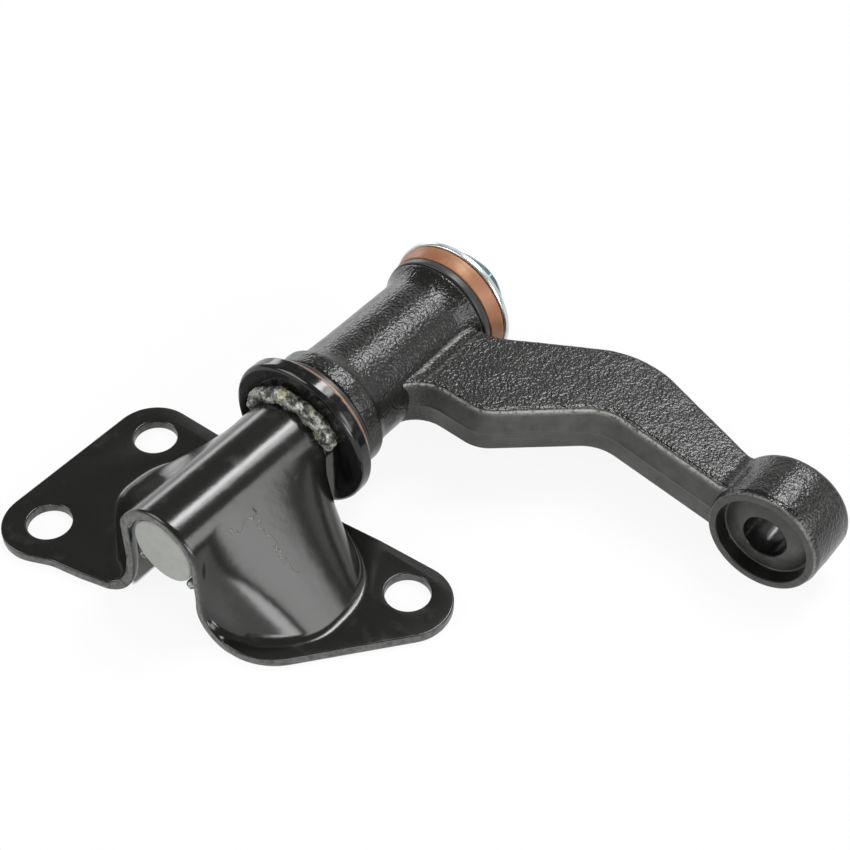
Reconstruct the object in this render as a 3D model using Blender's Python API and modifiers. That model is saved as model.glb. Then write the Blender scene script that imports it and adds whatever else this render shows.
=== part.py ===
"""Steering idler arm: a stamped bracket with a welded shaft, and a forged arm that swings on flanged bushes.

The origin is the middle of the shaft's front face. The shaft's axis runs along +Y, the arm leaves it along +X,
and +Z points away from the floor that the bracket's bolt lobes and the arm's eye rest on.
"""

import math

import bmesh
import bpy
from mathutils import Matrix, Vector

MM = 0.001
GAP = 0.3 * MM

# Shaft
SHAFT_RADIUS = 10.0 * MM
SHAFT_CHAMFER = 0.8 * MM
THREAD_BEYOND_NUT = 2.6 * MM
AXIS_HEIGHT = 25.4 * MM

# Bracket
SHEET = 3.2 * MM
BRACKET_LENGTH = 52.2 * MM
HOLE_RADIUS = 6.5 * MM
HOLE_SPREAD = 48.2 * MM
FRONT_HOLE_Y = 0.6 * MM
REAR_HOLE_INSET = 8.7 * MM
REAR_HOLE_Y = BRACKET_LENGTH - REAR_HOLE_INSET
LOBE_MARGIN = 5.9 * MM
TIP_MARGIN = 6.7 * MM
TIP_DROP = 7.6 * MM
EAR_MARGIN = 5.2 * MM
EAR_SLOPE = 24.2
EAR_BEND = 10.7 * MM
LEG_CLEARANCE = 0.3 * MM
GUSSET_FOOT = 39.6 * MM
GUSSET_PEAK_Y = 0.45 * BRACKET_LENGTH
GUSSET_FRONT_POWER = 1.9
GUSSET_REAR_POWER = 3.0
FOOT_FILLET = 4.2 * MM
LIP_REACH = 30.4 * MM
LEFT_LIP = 3.3 * MM
RIGHT_LIP = 0.9 * MM
REAR_STEP = 1.4 * MM

# Stack along the shaft
WELD_ROOM = 2.3 * MM
CAP_FRONT_Y = BRACKET_LENGTH + WELD_ROOM
CAP_SHEET = 0.9 * MM
CAP_DEPTH = 4.6 * MM
CAP_RADIUS = 23.1 * MM
CAP_CORNER = 1.6 * MM
FLANGE_THICKNESS = 5.0 * MM
FLANGE_RADIUS = 20.7 * MM
SLEEVE_WALL = 2.2 * MM
SLEEVE_LENGTH = 22.0 * MM
SEAL_THICKNESS = 2.0 * MM
SEAL_RADIUS = 19.9 * MM
WASHER_THICKNESS = 1.9 * MM
WASHER_RADIUS = 20.9 * MM
NUT_ACROSS_FLATS = 24.0 * MM
NUT_HEIGHT = 8.4 * MM
THREAD_RADIUS = NUT_ACROSS_FLATS / 3

# Forging
HUB_LENGTH = 54.9 * MM
HUB_RADIUS = 16.0 * MM
COLLAR_RADIUS = 18.6 * MM
FRONT_COLLAR = 7.2 * MM
REAR_COLLAR = 6.4 * MM
CENTRES = 120.0 * MM
ARM_HALF_HEIGHT = 8.2 * MM
ARM_DRAFT = 1.2 * MM
EYE_RADIUS = 16.7 * MM
EYE_LEAD = 53.2 * MM
EYE_FRONT_Y = CAP_FRONT_Y + EYE_LEAD
EYE_WIDTH = 18.8 * MM
EYE_BORE_RADIUS = 6.5 * MM
RECESS_RADIUS = 13.6 * MM
RECESS_DEPTH = 4.7 * MM
RECESS_DRAFT = 0.3 * MM
SEAT_RISE = 2.4 * MM
EDGE_ROUND = 0.8 * MM
ROOT_X = 14.9 * MM
ROOT_LEAD = 1.6 * MM
ROOT_FILLET = 11.0 * MM
ROOT_FAR_X = 25.0 * MM
CRANK_START = 38.4 * MM
CRANK_END = 64.6 * MM
CRANK_RISE = 5.0 * MM
CRANK_FILLET = 11.0 * MM
CRANK_BACK = 4.0 * MM
CRANK_PEAK = 19.0 * MM
CRANK_SWEEP = 30.0 * MM
EYE_NECK_SET = 2.2 * MM

# Welds
BEAD_RADIUS = 1.3 * MM
BEAD_SPREAD = 108.0
TACK_RADIUS = 1.5 * MM
TACK_LENGTH = 5.0 * MM

ROUND_STEPS = 48


def rgba(red, green, blue):
    return (red, green, blue, 1.0)


def make_material(name, colour, metallic, roughness):
    material = bpy.data.materials.new(name)
    material.use_nodes = True
    shader = material.node_tree.nodes["Principled BSDF"]
    shader.inputs["Base Color"].default_value = colour
    shader.inputs["Metallic"].default_value = metallic
    shader.inputs["Roughness"].default_value = roughness
    return material


def new_collection(name):
    collection = bpy.data.collections.new(name)
    bpy.context.scene.collection.children.link(collection)
    return collection


def add_object(name, mesh, collection):
    obj = bpy.data.objects.new(name, mesh)
    collection.objects.link(obj)
    return obj


def mesh_from(name, points, faces):
    mesh = bpy.data.meshes.new(name)
    mesh.from_pydata([tuple(p) for p in points], [], faces)
    mesh.update()
    return mesh


def smooth(obj, angle=35):
    obj.data.shade_smooth()
    obj.data.set_sharp_from_angle(angle=math.radians(angle))


def turned(name, profile, collection, parent=None, steps=ROUND_STEPS, closed=False, x=0.0):
    """A body turned about the shaft's axis, or about a line beside it at x.

    The profile holds (radius, y) pairs running down the outer side from the front.
    """
    points = [(radius, 0.0, -y) for radius, y in profile]
    mesh = bpy.data.meshes.new(name)
    edges = [(i, i + 1) for i in range(len(points) - 1)]
    if closed:
        edges.append((len(points) - 1, 0))
    mesh.from_pydata(points, edges, [])
    obj = add_object(name, mesh, collection)
    screw = obj.modifiers.new("Turn", "SCREW")
    screw.axis = "Z"
    screw.steps = steps
    screw.render_steps = steps
    screw.use_merge_vertices = True
    screw.merge_threshold = 0.00001
    obj.rotation_euler.x = math.radians(90)
    obj.location.x = x
    obj.parent = parent
    return obj


def boolean(obj, cutter, operation):
    step = obj.modifiers.new(f"{operation.title()} {cutter.name}", "BOOLEAN")
    step.operation = operation
    step.object = cutter
    step.solver = "EXACT"
    return step


def hide_cutter(obj):
    obj.hide_render = True
    obj.display_type = "WIRE"
    return obj


def cylinder(name, radius, front, rear, place, collection, steps=ROUND_STEPS):
    """A cylinder along Y from front to rear, with its axis at place, an (x, z) pair from the shaft's axis."""
    bpy.ops.mesh.primitive_cylinder_add(vertices=steps, radius=radius, depth=rear - front)
    obj = bpy.context.object
    obj.name = name
    obj.data.name = name
    for owner in list(obj.users_collection):
        owner.objects.unlink(obj)
    collection.objects.link(obj)
    obj.rotation_euler.x = math.radians(90)
    obj.location = (place[0], (front + rear) / 2, place[1])
    return obj


def arc(centre, radius, start, end, steps):
    """Points along an arc, with its ends, from the start angle to the end angle in degrees."""
    points = []
    for i in range(steps + 1):
        angle = math.radians(start + (end - start) * i / steps)
        points.append((centre[0] + radius * math.cos(angle), centre[1] + radius * math.sin(angle)))
    return points


def outline_solid(name, outline, bottom, top, collection):
    """A flat outline in X and Y, filled and given the height from bottom to top, as a mesh."""
    curve = bpy.data.curves.new(name, "CURVE")
    curve.dimensions = "2D"
    curve.fill_mode = "BOTH"
    curve.extrude = (top - bottom) / 2
    spline = curve.splines.new("POLY")
    spline.points.add(len(outline) - 1)
    for point, (x, y) in zip(spline.points, outline):
        point.co = (x, y, 0.0, 1.0)
    spline.use_cyclic_u = True
    guide = add_object(f"{name}_curve", curve, collection)
    guide.location.z = (bottom + top) / 2
    bpy.context.view_layer.update()
    graph = bpy.context.evaluated_depsgraph_get()
    mesh = bpy.data.meshes.new_from_object(guide.evaluated_get(graph))
    mesh.name = name
    body = bmesh.new()
    body.from_mesh(mesh)
    bmesh.ops.remove_doubles(body, verts=body.verts, dist=0.000001)
    bmesh.ops.recalc_face_normals(body, faces=body.faces)
    body.to_mesh(mesh)
    body.free()
    obj = add_object(name, mesh, collection)
    obj.matrix_world = guide.matrix_world
    bpy.data.objects.remove(guide)
    return obj


def gusset_share(y):
    """How far the saddle's legs lean out at y: 0 where they stand upright at its ends, 1 at the gusset's peak."""
    if y <= 0.0 or y >= BRACKET_LENGTH:
        return 0.0
    if y < GUSSET_PEAK_Y:
        return 1.0 - ((GUSSET_PEAK_Y - y) / GUSSET_PEAK_Y) ** GUSSET_FRONT_POWER
    return 1.0 - ((y - GUSSET_PEAK_Y) / (BRACKET_LENGTH - GUSSET_PEAK_Y)) ** GUSSET_REAR_POWER


def saddle_section(y, plate_end):
    """Half of the sheet's outer line at y, as (x, z) from the crest's middle out to the plate's end.

    The crest is round the shaft, the leg runs straight down from it, and a fillet turns it into the plate.
    """
    crest = SHAFT_RADIUS + LEG_CLEARANCE + SHEET
    foot = crest + (GUSSET_FOOT - crest) * gusset_share(y)
    rise = AXIS_HEIGHT - SHEET
    reach = math.hypot(foot, rise)
    lean = math.atan2(rise, foot) + math.asin(min(1.0, crest / reach))
    points = arc((0.0, 0.0), crest, 90, 90 - math.degrees(lean), 10)
    tangent = FOOT_FILLET * math.tan(lean / 2)
    centre = (foot + tangent, FOOT_FILLET - rise)
    start = (foot - tangent * math.cos(lean), tangent * math.sin(lean) - rise)
    top = points[-1]
    for share in (0.25, 0.5, 0.75):
        points.append((top[0] + (start[0] - top[0]) * share, top[1] + (start[1] - top[1]) * share))
    points += arc(centre, FOOT_FILLET, 270 - math.degrees(lean), 270, 6)
    edge = points[-1][0]
    points += [(edge + (plate_end - edge) * share, -rise) for share in (0.5, 1.0)]
    return points


def rounded(corners, steps=6):
    """A closed outline through (x, y, radius) corners, with an arc of that radius in each corner."""
    points = []
    for i, (x, y, radius) in enumerate(corners):
        corner = Vector((x, y))
        if radius <= 0.0:
            points.append((x, y))
            continue
        before = (Vector(corners[i - 1][:2]) - corner).normalized()
        after = (Vector(corners[(i + 1) % len(corners)][:2]) - corner).normalized()
        half = before.angle(after) / 2
        centre = corner + (before + after).normalized() * radius / math.sin(half)
        first = corner + before * radius / math.tan(half) - centre
        last = corner + after * radius / math.tan(half) - centre
        turn = math.atan2(first.x * last.y - first.y * last.x, first.dot(last))
        for step in range(steps + 1):
            point = centre + Matrix.Rotation(turn * step / steps, 2) @ first
            points.append((point.x, point.y))
    return points


def lobe_outline():
    """The sheet's outline in plan: an ear round each left hole, the tip round the right one, and the saddle's span."""
    leg = SHAFT_RADIUS + LEG_CLEARANCE + SHEET
    ear = HOLE_RADIUS + LOBE_MARGIN
    left = -HOLE_SPREAD - ear
    right = HOLE_SPREAD + HOLE_RADIUS + TIP_MARGIN
    rear = REAR_HOLE_Y + HOLE_RADIUS + EAR_MARGIN
    slope = math.radians(EAR_SLOPE)
    under_ear = FRONT_HOLE_Y - ear / math.cos(slope)
    corners = [
        (leg, 0.0, 0.0),
        (LIP_REACH, -RIGHT_LIP, ear),
        (right, REAR_HOLE_Y - TIP_DROP, ear),
        (right, rear - REAR_STEP / 2, ear),
        (LIP_REACH, BRACKET_LENGTH + REAR_STEP / 2, 0.0),
        (leg, BRACKET_LENGTH, 0.0),
        (-leg, BRACKET_LENGTH, 0.0),
        (-LIP_REACH, rear, 0.0),
        (left, rear, ear),
        (left, under_ear - ear * math.tan(slope), ear),
        (EAR_BEND - HOLE_SPREAD, under_ear + EAR_BEND * math.tan(slope), ear),
        (-leg - SHEET, -LEFT_LIP, SHEET),
        (-leg, 0.0, 0.0),
    ]
    return rounded(corners)


def plate_reach():
    """How far the sheet is drawn out to each side before its outline is cut."""
    return HOLE_SPREAD + 2 * (HOLE_RADIUS + TIP_MARGIN)


def stations():
    """Where the saddle's sections stand along Y, closer together where the legs turn in towards its ends."""
    reach = HOLE_RADIUS + LOBE_MARGIN + FRONT_HOLE_Y + SHEET
    found = [-reach, -reach / 2, -SHEET, -SHEET / 6]
    for step in range(1, 10):
        found.append(GUSSET_PEAK_Y * (step / 10) ** 1.4)
    for step in range(11):
        found.append(GUSSET_PEAK_Y + (BRACKET_LENGTH - GUSSET_PEAK_Y) * (1 - (1 - (step + 0.0) / 10.3) ** 1.5))
    return found + [BRACKET_LENGTH + SHEET / 6, BRACKET_LENGTH + SHEET, REAR_HOLE_Y + reach + SHEET]


def build_bracket(collection, cutters, material):
    rows = stations()
    points = []
    for y in rows:
        half = saddle_section(y, plate_reach())
        line = [(-x, z) for x, z in reversed(half[1:])] + half
        points += [(x, y, z) for x, z in line]
    width = len(points) // len(rows)
    faces = []
    for j in range(len(rows) - 1):
        for i in range(width - 1):
            a = j * width + i
            faces.append((a, a + 1, a + width + 1, a + width))
    obj = add_object("bracket", mesh_from("bracket", points, faces), collection)
    shell = obj.modifiers.new("Sheet", "SOLIDIFY")
    shell.thickness = SHEET
    shell.offset = -1.0
    shell.use_even_offset = True
    floor = -AXIS_HEIGHT
    top = SHAFT_RADIUS + 4 * SHEET
    outline = outline_solid("bracket_outline", lobe_outline(), floor - SHEET, top, cutters)
    boolean(obj, hide_cutter(outline), "INTERSECT")
    holes = {
        "front_left": (-HOLE_SPREAD, FRONT_HOLE_Y),
        "rear_left": (-HOLE_SPREAD, REAR_HOLE_Y),
        "rear_right": (HOLE_SPREAD, REAR_HOLE_Y),
    }
    for label, place in holes.items():
        ring = arc(place, HOLE_RADIUS, 0, 350, 35)
        hole = outline_solid(f"bolt_hole_{label}", ring, floor - SHEET, floor + 3 * SHEET, cutters)
        boolean(obj, hide_cutter(hole), "DIFFERENCE")
    obj.data.materials.append(material)
    smooth(obj)
    return obj


def stack():
    """Where each piece of the stack starts along Y, from the dust cap to the nut."""
    place = {"cap_front": CAP_FRONT_Y}
    place["front_flange"] = CAP_FRONT_Y + CAP_SHEET + GAP
    place["front_seal"] = place["front_flange"] + FLANGE_THICKNESS + GAP
    place["hub_front"] = place["front_seal"] + SEAL_THICKNESS + GAP
    place["hub_rear"] = place["hub_front"] + HUB_LENGTH
    place["rear_seal"] = place["hub_rear"] + GAP
    place["rear_flange"] = place["rear_seal"] + SEAL_THICKNESS + GAP
    place["washer_front"] = place["rear_flange"] + FLANGE_THICKNESS + GAP
    place["nut_front"] = place["washer_front"] + WASHER_THICKNESS + GAP
    return place


def build_shaft(collection, material):
    """The turned shaft: full size up to the thrust washer, and then a reduced end for the nut's thread."""
    shoulder = stack()["washer_front"] - GAP
    end = stack()["nut_front"] + NUT_HEIGHT + THREAD_BEYOND_NUT
    profile = [
        (0.0, 0.0),
        (SHAFT_RADIUS - SHAFT_CHAMFER, 0.0),
        (SHAFT_RADIUS, SHAFT_CHAMFER),
        (SHAFT_RADIUS, shoulder),
        (THREAD_RADIUS, shoulder),
        (THREAD_RADIUS, end - SHAFT_CHAMFER),
        (THREAD_RADIUS - SHAFT_CHAMFER, end),
        (0.0, end),
    ]
    obj = turned("pivot_shaft", profile, collection)
    obj.data.materials.append(material)


def build_welds(collection, material):
    """The bead over the saddle's rear end, and a short tack under each side of the shaft at the front."""
    radius = SHAFT_RADIUS + LEG_CLEARANCE + SHEET + GAP + BEAD_RADIUS
    middle = stack()["cap_front"] - GAP - BEAD_RADIUS
    path = arc((0.0, 0.0), radius, 90 - BEAD_SPREAD, 90 + BEAD_SPREAD, 30)
    curve = bpy.data.curves.new("rear_weld", "CURVE")
    curve.dimensions = "3D"
    curve.bevel_depth = BEAD_RADIUS
    curve.bevel_resolution = 2
    curve.use_fill_caps = True
    spline = curve.splines.new("POLY")
    spline.points.add(len(path) - 1)
    for i, (point, (x, z)) in enumerate(zip(spline.points, path)):
        point.co = (x, middle, z, 1.0)
        point.radius = 0.9 + 0.1 * math.sin(2.3 * i)
    curve.materials.append(material)
    add_object("rear_weld", curve, collection)
    side = SHAFT_RADIUS + LEG_CLEARANCE - GAP - TACK_RADIUS
    drop = math.sqrt((SHAFT_RADIUS + GAP + TACK_RADIUS) ** 2 - side**2)
    for label, x in (("left", -side), ("right", side)):
        place = (x, -drop)
        tack = cylinder(f"front_weld_{label}", TACK_RADIUS, GAP, GAP + TACK_LENGTH, place, collection, 12)
        tack.data.materials.append(material)
        smooth(tack)


def ring_profile(inner, outer, front, rear, chamfer):
    """The closed section of a plain ring, down its outer side and back up its bore."""
    return [
        (inner, front),
        (outer - chamfer, front),
        (outer, front + chamfer),
        (outer, rear - chamfer),
        (outer - chamfer, rear),
        (inner, rear),
    ]


def build_cap(collection, material):
    """The dust cap: a disc on the shaft with a rounded corner and a skirt over the front bush's flange."""
    front = stack()["cap_front"]
    rear = front + CAP_DEPTH
    bore = SHAFT_RADIUS + GAP
    inner = CAP_RADIUS - CAP_SHEET
    outside = arc((CAP_RADIUS - CAP_CORNER, front + CAP_CORNER), CAP_CORNER, -90, 0, 5)
    corner = CAP_CORNER - CAP_SHEET
    inside = arc((inner - corner, front + CAP_SHEET + corner), corner, 0, -90, 3)
    profile = [(bore, front)] + outside + [(CAP_RADIUS, rear), (inner, rear)] + inside
    profile.append((bore, front + CAP_SHEET))
    obj = turned("dust_cap", profile, collection, closed=True)
    obj.data.materials.append(material)


def build_bushes(collection, parent, materials):
    """A flanged bush in each end of the hub, and a seal ring between each flange and the hub's end face."""
    place = stack()
    bore = SHAFT_RADIUS + GAP
    sleeve = bore + SLEEVE_WALL
    near = place["front_flange"]
    far = place["rear_flange"] + FLANGE_THICKNESS
    chamfer = FLANGE_THICKNESS / 8
    front = [
        (bore, near),
        (FLANGE_RADIUS - chamfer, near),
        (FLANGE_RADIUS, near + chamfer),
        (FLANGE_RADIUS, near + FLANGE_THICKNESS - chamfer),
        (FLANGE_RADIUS - chamfer, near + FLANGE_THICKNESS),
        (sleeve, near + FLANGE_THICKNESS),
        (sleeve, near + FLANGE_THICKNESS + SLEEVE_LENGTH),
        (bore, near + FLANGE_THICKNESS + SLEEVE_LENGTH),
    ]
    rear = [(radius, near + far - y) for radius, y in reversed(front)]
    for name, profile in (("front_bush", front), ("rear_bush", rear)):
        obj = turned(name, profile, collection, parent, closed=True)
        obj.data.materials.append(materials["bush"])
    for name in ("front_seal", "rear_seal"):
        start = place[name]
        profile = ring_profile(sleeve + GAP, SEAL_RADIUS, start, start + SEAL_THICKNESS, SEAL_THICKNESS / 5)
        obj = turned(name, profile, collection, parent, closed=True)
        obj.data.materials.append(materials["seal"])


def build_fastener(collection, cutters, material):
    """The zinc thrust washer on the shaft's shoulder, and the hexagon nut that holds it there."""
    place = stack()
    bore = THREAD_RADIUS + GAP
    start = place["washer_front"]
    profile = ring_profile(bore, WASHER_RADIUS, start, start + WASHER_THICKNESS, WASHER_THICKNESS / 5)
    washer = turned("thrust_washer", profile, collection, closed=True)
    washer.data.materials.append(material)
    start = place["nut_front"]
    end = start + NUT_HEIGHT
    corner = NUT_ACROSS_FLATS / 2 / math.cos(math.radians(30))
    nut = cylinder("lock_nut", corner, start, end, (0.0, 0.0), collection, 6)
    nut.rotation_euler.y = math.radians(30)
    flat = NUT_ACROSS_FLATS / 2
    ease = (corner - flat) * 0.6
    profile = [
        (0.0, start - GAP),
        (flat * 0.97, start - GAP),
        (corner + GAP, start + ease),
        (corner + GAP, end - ease),
        (flat * 0.97, end + GAP),
        (0.0, end + GAP),
    ]
    boolean(nut, hide_cutter(turned("nut_chamfer", profile, cutters)), "INTERSECT")
    bore_cutter = cylinder("nut_bore", bore, start - GAP, end + GAP, (0.0, 0.0), cutters)
    boolean(nut, hide_cutter(bore_cutter), "DIFFERENCE")
    nut.data.materials.append(material)


def hub_bore_radius():
    """The hub's bore, which clears the sleeves of both bushes."""
    return SHAFT_RADIUS + GAP + SLEEVE_WALL + GAP


def rest_swing():
    """How far the arm hangs below level when its eye stands on the floor."""
    return math.asin((AXIS_HEIGHT - EYE_RADIUS) / CENTRES)


def arm_outline():
    """The forging's outline in plan at its parting line, from the hub's side out to the eye and back."""
    place = stack()
    middle = (place["hub_front"] + place["hub_rear"]) / 2
    rear = place["hub_rear"] - EDGE_ROUND
    near = EYE_FRONT_Y + EYE_NECK_SET
    far = EYE_FRONT_Y + EYE_WIDTH - EYE_NECK_SET / 2
    end = CENTRES - EYE_RADIUS / 2
    return [
        (0.0, middle - HUB_LENGTH / 3, 0.0),
        (ROOT_X, middle - HUB_LENGTH / 3, 0.0),
        (ROOT_X, middle - ROOT_LEAD, ROOT_FILLET),
        (CRANK_START, middle - ROOT_LEAD, CRANK_FILLET),
        (CRANK_END, near + CRANK_RISE, CRANK_FILLET),
        (end, near, 0.0),
        (end, far, 0.0),
        (CRANK_END - CRANK_BACK, far + CRANK_PEAK, CRANK_SWEEP),
        (ROOT_FAR_X, rear, ROOT_FILLET),
        (0.0, rear, 0.0),
    ]


def drafted(name, outline, half_height, draft, collection):
    """A forging's web: its outline at the parting line, drawn in by the draft at its top and bottom faces."""
    count = len(outline)
    inset = []
    for i, point in enumerate(outline):
        before = (Vector(point) - Vector(outline[i - 1])).normalized()
        after = (Vector(outline[(i + 1) % count]) - Vector(point)).normalized()
        middle = (before + after).normalized()
        spread = max(0.5, middle.dot(after))
        inset.append(Vector(point) + Vector((-middle.y, middle.x)) * draft / spread)
    points = [(x, y, -half_height) for x, y in inset]
    points += [(x, y, 0.0) for x, y in outline]
    points += [(x, y, half_height) for x, y in inset]
    faces = [tuple(reversed(range(count))), tuple(range(2 * count, 3 * count))]
    for ring in range(2):
        for i in range(count):
            j = (i + 1) % count
            a = ring * count
            faces.append((a + i, a + j, a + count + j, a + count + i))
    return add_object(name, mesh_from(name, points, faces), collection)


def build_arm(collection, cutters, parent, material):
    """The forging: a collared hub, the cranked arm with its parting line, and the eye with its recessed seat."""
    place = stack()
    front = place["hub_front"]
    rear = place["hub_rear"]
    slope = COLLAR_RADIUS - HUB_RADIUS
    hub = [
        (hub_bore_radius(), front),
        (COLLAR_RADIUS - EDGE_ROUND, front),
        (COLLAR_RADIUS, front + EDGE_ROUND),
        (COLLAR_RADIUS, front + FRONT_COLLAR - slope / 2),
        (COLLAR_RADIUS - slope / 3, front + FRONT_COLLAR),
        (HUB_RADIUS, front + FRONT_COLLAR + slope),
        (HUB_RADIUS, rear - REAR_COLLAR - slope),
        (COLLAR_RADIUS - slope / 3, rear - REAR_COLLAR),
        (COLLAR_RADIUS, rear - REAR_COLLAR + slope / 2),
        (COLLAR_RADIUS, rear - EDGE_ROUND),
        (COLLAR_RADIUS - EDGE_ROUND, rear),
        (hub_bore_radius(), rear),
    ]
    obj = drafted("idler_arm", rounded(arm_outline(), 7), ARM_HALF_HEIGHT, ARM_DRAFT, collection)
    obj.parent = parent
    seat = EYE_FRONT_Y + RECESS_DEPTH
    back = EYE_FRONT_Y + EYE_WIDTH
    within_hub = (hub_bore_radius() + HUB_RADIUS) / 2
    within_eye = (RECESS_RADIUS + RECESS_DRAFT + EYE_RADIUS) / 2
    root = [(0.0, front), (within_hub, front), (within_hub, rear + SHEET), (0.0, rear + SHEET)]
    tip = [(0.0, front), (within_eye, front), (within_eye, back + SHEET), (0.0, back + SHEET)]
    boolean(obj, hide_cutter(turned("root_clearance", root, cutters, parent)), "DIFFERENCE")
    boolean(obj, hide_cutter(turned("tip_clearance", tip, cutters, parent, x=CENTRES)), "DIFFERENCE")
    boolean(obj, hide_cutter(turned("hub_body", hub, cutters, parent, closed=True)), "UNION")
    eye = [
        (RECESS_RADIUS + RECESS_DRAFT, EYE_FRONT_Y),
        (EYE_RADIUS - EDGE_ROUND, EYE_FRONT_Y),
        (EYE_RADIUS, EYE_FRONT_Y + EDGE_ROUND),
        (EYE_RADIUS, back - 2 * EDGE_ROUND),
        (EYE_RADIUS - 2 * EDGE_ROUND, back),
        (EYE_BORE_RADIUS, back),
        (EYE_BORE_RADIUS, seat - SEAT_RISE),
        (RECESS_RADIUS - RECESS_DRAFT, seat),
    ]
    boolean(obj, hide_cutter(turned("eye_body", eye, cutters, parent, closed=True, x=CENTRES)), "UNION")
    obj.data.materials.append(material)
    return obj


def main():
    for obj in list(bpy.data.objects):
        bpy.data.objects.remove(obj)
    collection = new_collection("idler_arm_assembly")
    cutters = new_collection("cutters")
    black_paint = make_material("black_paint", rgba(0.014, 0.014, 0.013), 0.0, 0.22)
    shaft_steel = make_material("shaft_steel", rgba(0.30, 0.30, 0.29), 0.6, 0.42)
    weld_metal = make_material("weld_metal", rgba(0.16, 0.16, 0.13), 0.7, 0.35)
    cap_enamel = make_material("cap_enamel", rgba(0.010, 0.010, 0.009), 0.0, 0.20)
    bush_brown = make_material("bush_brown", rgba(0.46, 0.24, 0.13), 0.0, 0.50)
    seal_rubber = make_material("seal_rubber", rgba(0.018, 0.018, 0.018), 0.0, 0.60)
    forged_black = make_material("forged_black", rgba(0.030, 0.031, 0.028), 0.1, 0.55)
    zinc = make_material("zinc", rgba(0.62, 0.67, 0.70), 0.9, 0.30)

    build_bracket(collection, cutters, black_paint)
    build_shaft(collection, shaft_steel)
    build_welds(collection, weld_metal)
    build_cap(collection, cap_enamel)
    build_fastener(collection, cutters, zinc)

    hinge = bpy.data.objects.new("arm_hinge", None)
    hinge.rotation_euler.y = rest_swing()
    collection.objects.link(hinge)
    build_bushes(collection, hinge, {"bush": bush_brown, "seal": seal_rubber})
    build_arm(collection, cutters, hinge, forged_black)
    for obj in collection.objects:
        if obj.type == "MESH":
            smooth(obj)


if __name__ == "__main__":
    main()
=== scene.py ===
"""A steering idler arm: a stamped bracket with a welded shaft, and a cranked forging on brown bushes.

The origin is the middle of the shaft's front face, the shaft runs along +Y, the arm leaves it along +X, and
the floor lies under the bracket's lobes and the arm's eye. Lengths are in metres, and MM turns a millimetre
into one.
"""

from __future__ import annotations

import logging
import math
from dataclasses import dataclass, field
from enum import Enum

import bmesh
import bpy
import numpy as np
from mathutils import Euler, Matrix, Vector

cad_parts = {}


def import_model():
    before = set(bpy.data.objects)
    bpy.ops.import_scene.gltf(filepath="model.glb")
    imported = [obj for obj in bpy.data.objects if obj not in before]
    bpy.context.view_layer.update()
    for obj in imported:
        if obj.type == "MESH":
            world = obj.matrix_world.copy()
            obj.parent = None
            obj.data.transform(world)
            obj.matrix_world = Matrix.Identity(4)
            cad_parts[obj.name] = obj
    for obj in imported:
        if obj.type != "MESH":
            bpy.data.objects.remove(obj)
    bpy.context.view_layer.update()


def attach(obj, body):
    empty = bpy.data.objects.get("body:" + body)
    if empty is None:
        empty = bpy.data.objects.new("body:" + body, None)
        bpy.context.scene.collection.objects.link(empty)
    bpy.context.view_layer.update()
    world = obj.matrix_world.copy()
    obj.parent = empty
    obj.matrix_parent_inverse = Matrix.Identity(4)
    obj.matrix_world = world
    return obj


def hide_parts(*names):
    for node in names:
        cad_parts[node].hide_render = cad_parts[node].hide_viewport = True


log = logging.getLogger("idler_arm")

MM = 0.001
AXIS_HEIGHT = 25.4 * MM
SHAFT_RADIUS = 10.0 * MM
SHEET = 3.2 * MM
GAP = 0.3 * MM
BRACKET_LENGTH = 52.2 * MM
CENTRES = 120.0 * MM
EYE_RADIUS = 16.7 * MM
HANG = math.asin((AXIS_HEIGHT - EYE_RADIUS) / CENTRES)
BORE = SHAFT_RADIUS + GAP
CREST = BORE + SHEET
TURN_STEPS = 192
WELD = 2e-6


class Side(Enum):
    """Which half of the bracket a surface belongs to."""

    LEFT = -1.0
    RIGHT = 1.0


# Numbers and arrays


def smoothstep(x: np.ndarray) -> np.ndarray:
    """Gives 0 below 0, 1 above 1 and 3x^2 - 2x^3 between them."""
    x = np.clip(x, 0.0, 1.0)
    return x * x * (3.0 - 2.0 * x)


def bump(x: np.ndarray, centre: float, width: float) -> np.ndarray:
    """Gives a bell of height 1 at centre, exp(-((x - centre) / width)^2)."""
    return np.exp(-(((x - centre) / width) ** 2))


def rounded(corners: list[tuple[float, float, float]], steps: int = 8, closed: bool = False) -> np.ndarray:
    """Rounds the corners of a line in a plane.

    Each corner is replaced by an arc that touches both of its sides: its centre lies on the corner's
    bisector at radius / sin(half the angle between the sides).

    Args:
        corners: (x, y, radius) of each corner; an open line's two ends keep their places.
        steps: How many stretches each arc has.
        closed: Whether the last corner joins the first.

    Returns:
        The points, one row each.
    """
    points = []
    count = len(corners)
    for i, (x, y, radius) in enumerate(corners):
        if radius <= 0.0 or (not closed and i in (0, count - 1)):
            points.append((x, y))
            continue
        corner = Vector((x, y))
        before = (Vector(corners[i - 1][:2]) - corner).normalized()
        after = (Vector(corners[(i + 1) % count][:2]) - corner).normalized()
        half = before.angle(after) / 2
        centre = corner + (before + after).normalized() * radius / math.sin(half)
        first = corner + before * radius / math.tan(half) - centre
        last = corner + after * radius / math.tan(half) - centre
        turn = math.atan2(first.x * last.y - first.y * last.x, first.dot(last))
        for step in range(steps + 1):
            points.append(tuple(centre + Matrix.Rotation(turn * step / steps, 2) @ first))
    return np.array(points)


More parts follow.
